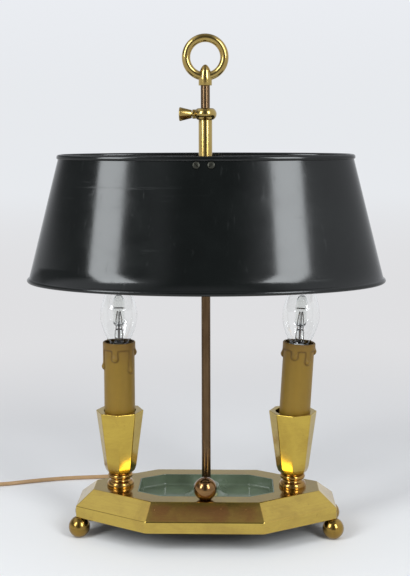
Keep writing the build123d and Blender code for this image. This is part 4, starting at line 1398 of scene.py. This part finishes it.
def shade_grid(s, low_z, around=360):
    """The shade's wall and its two wired edges: a loop of (inset i, height z) points carried round
    the oval x = (L(z) - i) cos(a), y = (W(z) - i) sin(a). Past the wires' middles L and W stay.
    """
    r, half = s.bead / 2, s.sheet / 2
    open_from = math.asin(half / r)
    over = np.linspace(-1, 1, 30) * (np.pi - open_from)
    top = np.column_stack([half + r * np.sin(over), r * np.cos(over)])
    bottom = np.column_stack([half - r * np.sin(over), -r * np.cos(over)])
    walls = np.linspace(0, 1, 9)[1:-1]
    start, stop = bottom[-1, 1], s.height + top[0, 1]
    outer = np.column_stack([np.zeros(len(walls)), start + (stop - start) * walls])
    inner = np.column_stack([np.full(len(walls), s.sheet), outer[::-1, 1]])
    loop = np.concatenate([bottom, outer, top + (0, s.height), inner])
    inset, z = closed(loop).T[:, :, None]
    half_length, half_width = shade_half(s, low_z + np.clip(z, 0, s.height), low_z)
    a = np.linspace(0, 2 * np.pi, around, endpoint=False)
    x, y = (half_length - inset) * np.cos(a), (half_width - inset) * np.sin(a)
    return np.stack([x, y, np.broadcast_to(z + low_z, x.shape)], axis=-1)


def screw_grid(s, angle):
    """A slotted cheese head: straight chords y = v of the disc, x = u sqrt(1 - v^2), whose crown
    falls off towards the edge, with the chords of the slot set down by its depth.
    """
    r, slot = s.screw_head / 2, s.screw_slot / s.screw_head
    crowning, sunk = 0.0005, 0.0002
    beside = np.array([0.35, 0.6, 0.85, 0.97, 1])
    v = np.concatenate([-beside[::-1], [-slot, -slot, 0, slot, slot], beside])
    slot_chords = len(beside) + np.array([1, 2, 3])
    cut = np.where(np.isin(np.arange(len(v)), slot_chords), s.slot_depth, 0.0)
    u = np.linspace(-1, 1, 17)
    chord = np.sqrt(np.clip(1 - v**2, 0, 1))
    x, y = r * chord[:, None] * u, r * v[:, None] + 0 * u
    edge = np.clip((x**2 + y**2) / r**2, 0, 1)
    top = s.screw_high - crowning * edge**3 - cut[:, None]
    crown = np.stack([x, y, top], axis=-1)
    base = np.stack([x[:, ::-1], y[:, ::-1], 0 * x - sunk], axis=-1)
    grid = np.concatenate([crown, base], axis=1)
    c, t = math.cos(angle), math.sin(angle)
    return grid @ np.array([(c, t, 0), (-t, c, 0), (0, 0, 1)])


# How far each screw's slot is turned, in degrees, by its side of the rod and its face
SLOT_TURNS = {(-1, -1): -50, (1, -1): 42, (-1, 1): 15, (1, 1): -70}


class LAMP_OT_shade(bpy.types.Operator):
    """Form the oval shade with its wired edges, and its slotted screws"""

    bl_idname = "lamp.shade"
    bl_label = "Shade"

    def execute(self, context):
        s = settings("lamp_shade")
        low_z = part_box("shade")[0][2] + s.bead / 2
        piece(
            "shade_shell", [shade_grid(s, low_z)], "shade_group", finish("shade_enamel"),
            ["shade"], crease=60,
        )
        dress("shade_bracket", finish("rod_brass"))
        screw_z = low_z + s.height - s.screw_drop
        half_width = shade_half(s, screw_z, low_z)[1]
        lean = math.atan2(s.bottom_width - s.top_width, 2 * s.height)
        heads = []
        for (side, face), turn in SLOT_TURNS.items():
            out = np.array((0, face * math.cos(lean), math.sin(lean)))
            along = np.array((-face, 0.0, 0.0))
            axes = np.array([along, np.cross(out, along), out])
            place = (side * s.screw_gap / 2, face * half_width, screw_z)
            heads.append(screw_grid(s, math.radians(turn)) @ axes + place)
        piece(
            "shade_screws", heads, "shade_group", finish("screw_steel"), ["bracket_screws"],
            crease=35,
        )
        return {"FINISHED"}


# ---------------------------------------------------------------- candle lights


def light_place(side):
    """Middle of one light on the rim and its lean in degrees."""
    x = middle(f"{side}_neck")[0]
    lean = math.degrees(settings("lamp_light").lean) if side == "right" else 0.0
    return x, lean


class LAMP_OT_candlesticks(bpy.types.Operator):
    """Turn the two necks and cast the two eight-sided cups"""

    bl_idname = "lamp.candlesticks"
    bl_label = "Necks and cups"

    def execute(self, context):
        s = settings("lamp_light")
        for side in SIDES:
            x, lean = light_place(side)
            low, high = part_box(f"{side}_neck")
            grid = turned(self.neck_profile(s), (x, 0, low[2]), steps=96)
            piece(
                f"{side}_neck_turning", [grid], "root", finish("neck_brass"), [f"{side}_neck"],
            )
            grid = self.cup_grid(s, lean, (x, 0, high[2]))
            piece(
                f"{side}_cup_casting", [grid], "root", finish("cup_brass"), [f"{side}_cup"],
                crease=38, flats=True,
            )
        return {"FINISHED"}

    def neck_profile(self, s):
        """Foot, waist and bead of the neck, each an arc."""
        diameters = (s.neck_foot, s.neck_waist, s.neck_bead, s.neck_bore)
        foot, waist, bead, bore = (d / 2 for d in diameters)
        foot_top, high = s.neck_foot_height, s.neck_height
        bead_foot, belly = high - s.neck_bead_height, 0.0001
        shoulder, bead_root = foot - foot_top / 3, bead - s.neck_bead_height / 2
        heel = arc((foot, 0), (foot + belly, foot_top * 0.4), (shoulder, foot_top))
        narrowest = (waist, (foot_top + bead_foot) / 2)
        hollow = arc((shoulder, foot_top), narrowest, (bead_root, bead_foot))
        widest = (bead, (bead_foot + high) / 2)
        round_bead = arc((bead_root, bead_foot), widest, (bead_root, high))
        outline = [[(bore, 0)], heel[:-1], hollow, round_bead[1:], [(bore, high)]]
        return closed(np.concatenate(outline))

    def cup_grid(self, s, lean, foot):
        """Eight-sided outside and round bore. In direction a the outside lies at
        A / (sum over the sides of max(0, cos(a - side))^p)^(1/p), A being half the distance across
        the flats, and a high power p keeps the flats flat and rounds the corners a little.
        """
        power, columns = 110, 320
        heel_z, side_z, clear = 0.0024, 0.0065, 0.0003
        a = np.linspace(0, 2 * np.pi, columns, endpoint=False)
        sides = (np.arange(8)[:, None] + 0.5) * np.pi / 4
        flats = (np.clip(np.cos(a - sides), 0, 1) ** power).sum(axis=0) ** (-1 / power)
        eight = flats * math.cos(math.pi / 8)
        tilt = s.sleeve / 2 * math.sin(math.radians(lean))
        ledge = s.pivot + s.sleeve_seat - tilt - clear
        outside = [(0, 0), (s.cup_foot, 0), (s.cup_heel, heel_z), (s.cup_low, side_z)]
        outside += [(s.cup_top, s.cup_height)]
        mouth = s.cup_mouth if lean else s.sleeve + s.cup_play
        bore = [(mouth, s.cup_height), (s.cup_ledge, ledge), (s.cup_bore, ledge)]
        bore += [(s.cup_bore, s.cup_bottom), (0, s.cup_bottom)]
        across = np.array([d for d, z in outside + bore]) / 2
        heights = np.array([z for d, z in outside + bore])
        shapes = np.array([eight] * len(outside) + [np.ones(columns)] * len(bore))
        r = across[:, None] * shapes
        rings = np.stack([r * np.cos(a), r * np.sin(a)], axis=-1)
        grid = at_height(rings, heights)
        cuts = (0.0004, 0.0008, 0.0015, 0.0006, 0.0006, 0.0003, 0.0003, 0.0003)
        return soften(grid, cuts, 4) + np.array(foot)


# Each drip's bearing in degrees from the front, and the height of its end over the sleeve's foot
DRIPS = {
    "left": [(-75, 73.0), (-10, 82.0), (54, 70.5), (100, 85.5)],
    "right": [(-95, 84.0), (-18, 84.5), (34, 80.0), (88, 88.0)],
}


def wax_field(s, drips, around, up):
    """Distance in metres to the edge of the wax, under 0 inside it. Each drip is a rod from the
    rim down to its end, sqrt(x^2 + below^2) - w, and the collar of wax ends level; they melt
    together as -k ln(sum of exp(-d / k)). Also the bulge exp(-(distance / size)^2) of the drips'
    ends.
    """
    melt, taper, thinning, bulge_size = 0.0009, 0.012, 0.0012, 0.0026
    total = np.exp(-(s.sleeve_length - s.wax_collar - up) / melt)
    bulge = np.zeros_like(total)
    for bearing, end in drips:
        turn = np.mod(around - math.radians(bearing) + np.pi, 2 * np.pi) - np.pi
        x, over = turn * s.sleeve / 2, up - end * MM
        half = s.drip_width / 2 - thinning * np.clip(over / taper, 0, 1)
        total = total + np.exp(-(np.sqrt(x**2 + np.minimum(over, 0) ** 2) - half) / melt)
        bulge = np.maximum(bulge, np.exp(-(x**2 + over**2) / bulge_size**2))
    return -melt * np.log(total), bulge


def sleeve_grid(s, side, x, lean, foot_z):
    """The candle sleeve, and its masks. Outside, the wax stands out by
    (wax + drip * bulge) sqrt(1 - (1 - depth)^2), depth being how far a point is inside it as a
    share of the wax's rounding, at most 1.
    """
    columns, rows = 288, 240
    rounding, rim, rim_drop, hollow_size = 0.0013, 0.0008, 0.0005, 0.0009
    washed_from, washed_over, mouth_bevel, inner_middle = 0.022, 0.02, 0.0003, 0.06
    a = np.linspace(0, 2 * np.pi, columns, endpoint=False)
    up = np.linspace(0, 1, rows)[:, None] ** 0.8 * s.sleeve_length
    edge, bulge = wax_field(s, DRIPS[side], a[None] + np.pi / 2, up + s.sleeve_seat)
    depth = np.clip(-edge / rounding, 0, 1)
    stand = (s.wax + s.drip * bulge) * np.sqrt(1 - (1 - depth) ** 2)
    near_top = np.clip((up - s.sleeve_length + rim) / rim, 0, 1)
    r = s.sleeve / 2 + stand - rim_drop * near_top**2
    beside = np.exp(-((np.maximum(edge, 0) / hollow_size) ** 2))
    hollow = beside * np.exp(-((depth / 0.75) ** 2))
    upper = np.clip((up - s.sleeve_length + washed_from) / washed_over, 0, 1) + 0 * a
    top = s.sleeve_length
    inner_up = np.array([top, top - mouth_bevel, inner_middle, 0.0])[:, None]
    inner_r = s.sleeve / 2 - s.sleeve_wall + np.array([mouth_bevel, 0, 0, 0])[:, None]
    r = np.concatenate([r, inner_r + 0 * a])
    h = np.concatenate([up + 0 * a, inner_up + 0 * a]) + s.sleeve_seat
    hollow = np.concatenate([hollow, 0.8 + 0 * inner_up + 0 * a])
    upper = np.concatenate([upper, 1 + 0 * inner_up + 0 * a])
    local = closed(np.stack([r * np.cos(a), r * np.sin(a), h], axis=-1))
    masks = {"hollow": closed(hollow), "upper": closed(upper)}
    return local @ leaning(lean) + (x, 0, foot_z), masks


class LAMP_OT_candles(bpy.types.Operator):
    """Mould the two candle sleeves with their drips"""

    bl_idname = "lamp.candles"
    bl_label = "Candle sleeves"

    def execute(self, context):
        s = settings("lamp_light")
        for side in SIDES:
            x, lean = light_place(side)
            foot_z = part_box(f"{side}_cup")[0][2] + s.pivot
            grid, masks = sleeve_grid(s, side, x, lean, foot_z)
            piece(
                f"{side}_sleeve", [grid], "root", finish("sleeve_wax"), [f"{side}_candle_cover"],
                masks=masks,
            )
            dress(f"{side}_lampholder", finish("phenolic"))
            dress(f"{side}_holder_thread", finish("cap_metal"))
            for part in ("stem", "nipple", "nipple_nuts"):
                dress(f"{side}_{part}", finish("zinc_steel"))
        return {"FINISHED"}


class LAMP_OT_bulbs(bpy.types.Operator):
    """Blow the two candle bulbs and set their inner capsules and wires"""

    bl_idname = "lamp.bulbs"
    bl_label = "Bulbs"

    def execute(self, context):
        s = settings("lamp_light")
        for side in SIDES:
            x, lean = light_place(side)
            axes = leaning(lean)
            pivot = np.array((x, 0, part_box(f"{side}_cup")[0][2] + s.pivot))
            foot = pivot + s.bulb_foot * axes[2]
            grid = turned(self.glass_profile(s), foot, axes, 96)
            piece(
                f"{side}_bulb", [grid], "root", finish("bulb_glass"), [f"{side}_bulb_glass"],
                crease=60,
            )
            self.add_burner(s, side, foot, axes)
            dress(f"{side}_bulb_cap", finish("cap_metal"))
        return {"FINISHED"}

    def glass_profile(self, s):
        """Outside and inside of the candle-shaped glass, each a smooth line through its foot,
        neck, belly, shoulder and tip.
        """
        leave, arrive = (0.9, 1.0), (-1, 0)
        widths = np.array((0.48, 0.62, 1.0, 0.6, 0.0)) * s.bulb / 2
        heights = np.array((0.0, 4.1, 26.6, 56.2, 74.0)) / 74.0 * s.bulb_length
        outside = spline_through(np.column_stack([widths, heights]), leave, arrive)
        inset = np.minimum(widths, s.glass)
        heights[-1] -= s.glass
        inner = np.column_stack([widths - inset, heights])
        inside = spline_through(inner, leave, arrive)[::-1]
        return closed(np.concatenate([outside, inside]))

    def add_burner(self, s, side, foot, axes):
        """Inner capsule on its glass stem, with two leads, a coiled filament and a bridge."""
        r, z, top = s.capsule / 2, s.capsule_foot, s.capsule_foot + s.capsule_length
        wall, stem, hole, rounding = s.capsule_wall, 0.0042, 0.0005, 0.003
        # The capsule's pinched foot, straight side and round top, then the same inside
        corners = [(hole, z - 0.001), (r * 0.55, z), (r, z + 0.003), (r, top - 0.004)]
        outside = soften(corners + [(r * 0.4, top), (0, top)], rounding, 6)
        r -= wall
        corners = [(0, top - wall), (r * 0.4, top - wall), (r, top - 0.0045), (r, z + 0.004)]
        inside = soften(corners + [(r * 0.5, z + 0.002), (hole, z + wall)], rounding, 6)
        shell = closed(np.concatenate([outside, inside]))
        # The stem, flared where it stands on the cap
        corners = [(0, 0), (stem * 1.25, 0), (stem, 0.004), (stem * 0.9, z - 0.003)]
        flare = soften([*corners, (0, z - 0.0012)], 0.001)
        grids = [turned(profile, foot, axes, 40) for profile in (shell, flare)]
        piece(
            f"{side}_capsule", grids, "root", finish("capsule_glass"), [f"{side}_bulb_burner"],
            crease=60,
        )
        grids = [tube(np.asarray(line) @ axes + foot, width) for line, width in self.wires(z)]
        piece(f"{side}_filament", grids, "root", finish("lead_wire"), crease=50)

    def wires(self, capsule_foot):
        """The coiled filament, its two leads, the bridge over it and the post under it, each a
        path above the bulb's foot and the wire's radius.
        """
        turns, coil_r, coil_low, coil_high, coil_wire = 14, 0.0011, 0.019, 0.031, 0.00022
        lead_x, lead_foot, lead_bend, lead_top, lead_wire = 0.0027, 0.002, 0.024, 0.0315, 0.00045
        bridge_x, bridge_z, bridge_wire = 0.00495, 0.0345, 0.0006
        post_foot, post_wire = 0.006, 0.0007
        t = np.linspace(0, 1, turns * 14)
        a = t * turns * 2 * np.pi
        rise = coil_low + (coil_high - coil_low) * t
        coil = np.column_stack([coil_r * np.cos(a), coil_r * np.sin(a), rise])
        lines = [(coil, coil_wire)]
        for x in (-lead_x, lead_x):
            straight = [(x, 0, z) for z in (lead_foot, capsule_foot, lead_bend)]
            lead = soften([*straight, (x / 2, 0, lead_top)], 0.002)
            lines.append((lead, lead_wire))
        lines.append(([(-bridge_x, 0, bridge_z), (bridge_x, 0, bridge_z)], bridge_wire))
        lines.append(([(0, 0, post_foot), (0, 0, coil_low)], post_wire))
        return lines


class LAMP_OT_fittings(bpy.types.Operator):
    """Finish the switch and the terminal block inside the tray"""

    bl_idname = "lamp.fittings"
    bl_label = "Inner fittings"

    def execute(self, context):
        for node in ("switch_body", "terminal_block"):
            dress(node, finish("phenolic"))
        return {"FINISHED"}


# ---------------------------------------------------------------- panel and main


PIECES = (
    LAMP_OT_stage,
    LAMP_OT_cord,
    LAMP_OT_tray,
    LAMP_OT_dish,
    LAMP_OT_feet,
    LAMP_OT_post,
    LAMP_OT_clamp,
    LAMP_OT_shade,
    LAMP_OT_candlesticks,
    LAMP_OT_candles,
    LAMP_OT_bulbs,
    LAMP_OT_fittings,
)


class LAMP_PT_panel(bpy.types.Panel):
    """Buttons for the pieces and fields for their sizes and colours"""

    bl_label = "Bouillotte Lamp"
    bl_idname = "LAMP_PT_panel"
    bl_space_type = "VIEW_3D"
    bl_region_type = "UI"
    bl_category = "Lamp"

    def draw(self, context):
        for operator in PIECES:
            self.layout.operator(operator.bl_idname)
        for group, kind in GROUPS.items():
            box = self.layout.box()
            box.label(text=kind.__name__)
            for name in kind.__annotations__:
                box.prop(getattr(context.scene, group), name)


def register():
    """Add the classes, and each property group on the scene."""
    for kind in (*GROUPS.values(), *PIECES, LAMP_PT_panel):
        bpy.utils.register_class(kind)
    for group, kind in GROUPS.items():
        setattr(bpy.types.Scene, group, bpy.props.PointerProperty(type=kind))


def unregister():
    """Take the property groups and classes away again."""
    for group in GROUPS:
        delattr(bpy.types.Scene, group)
    for kind in (LAMP_PT_panel, *reversed(PIECES), *reversed(GROUPS.values())):
        bpy.utils.unregister_class(kind)


def main():
    """Build every piece."""
    register()
    for operator in PIECES:
        family, name = operator.bl_idname.split(".")
        getattr(getattr(bpy.ops, family), name)()


if __name__ == "__main__":
    main()
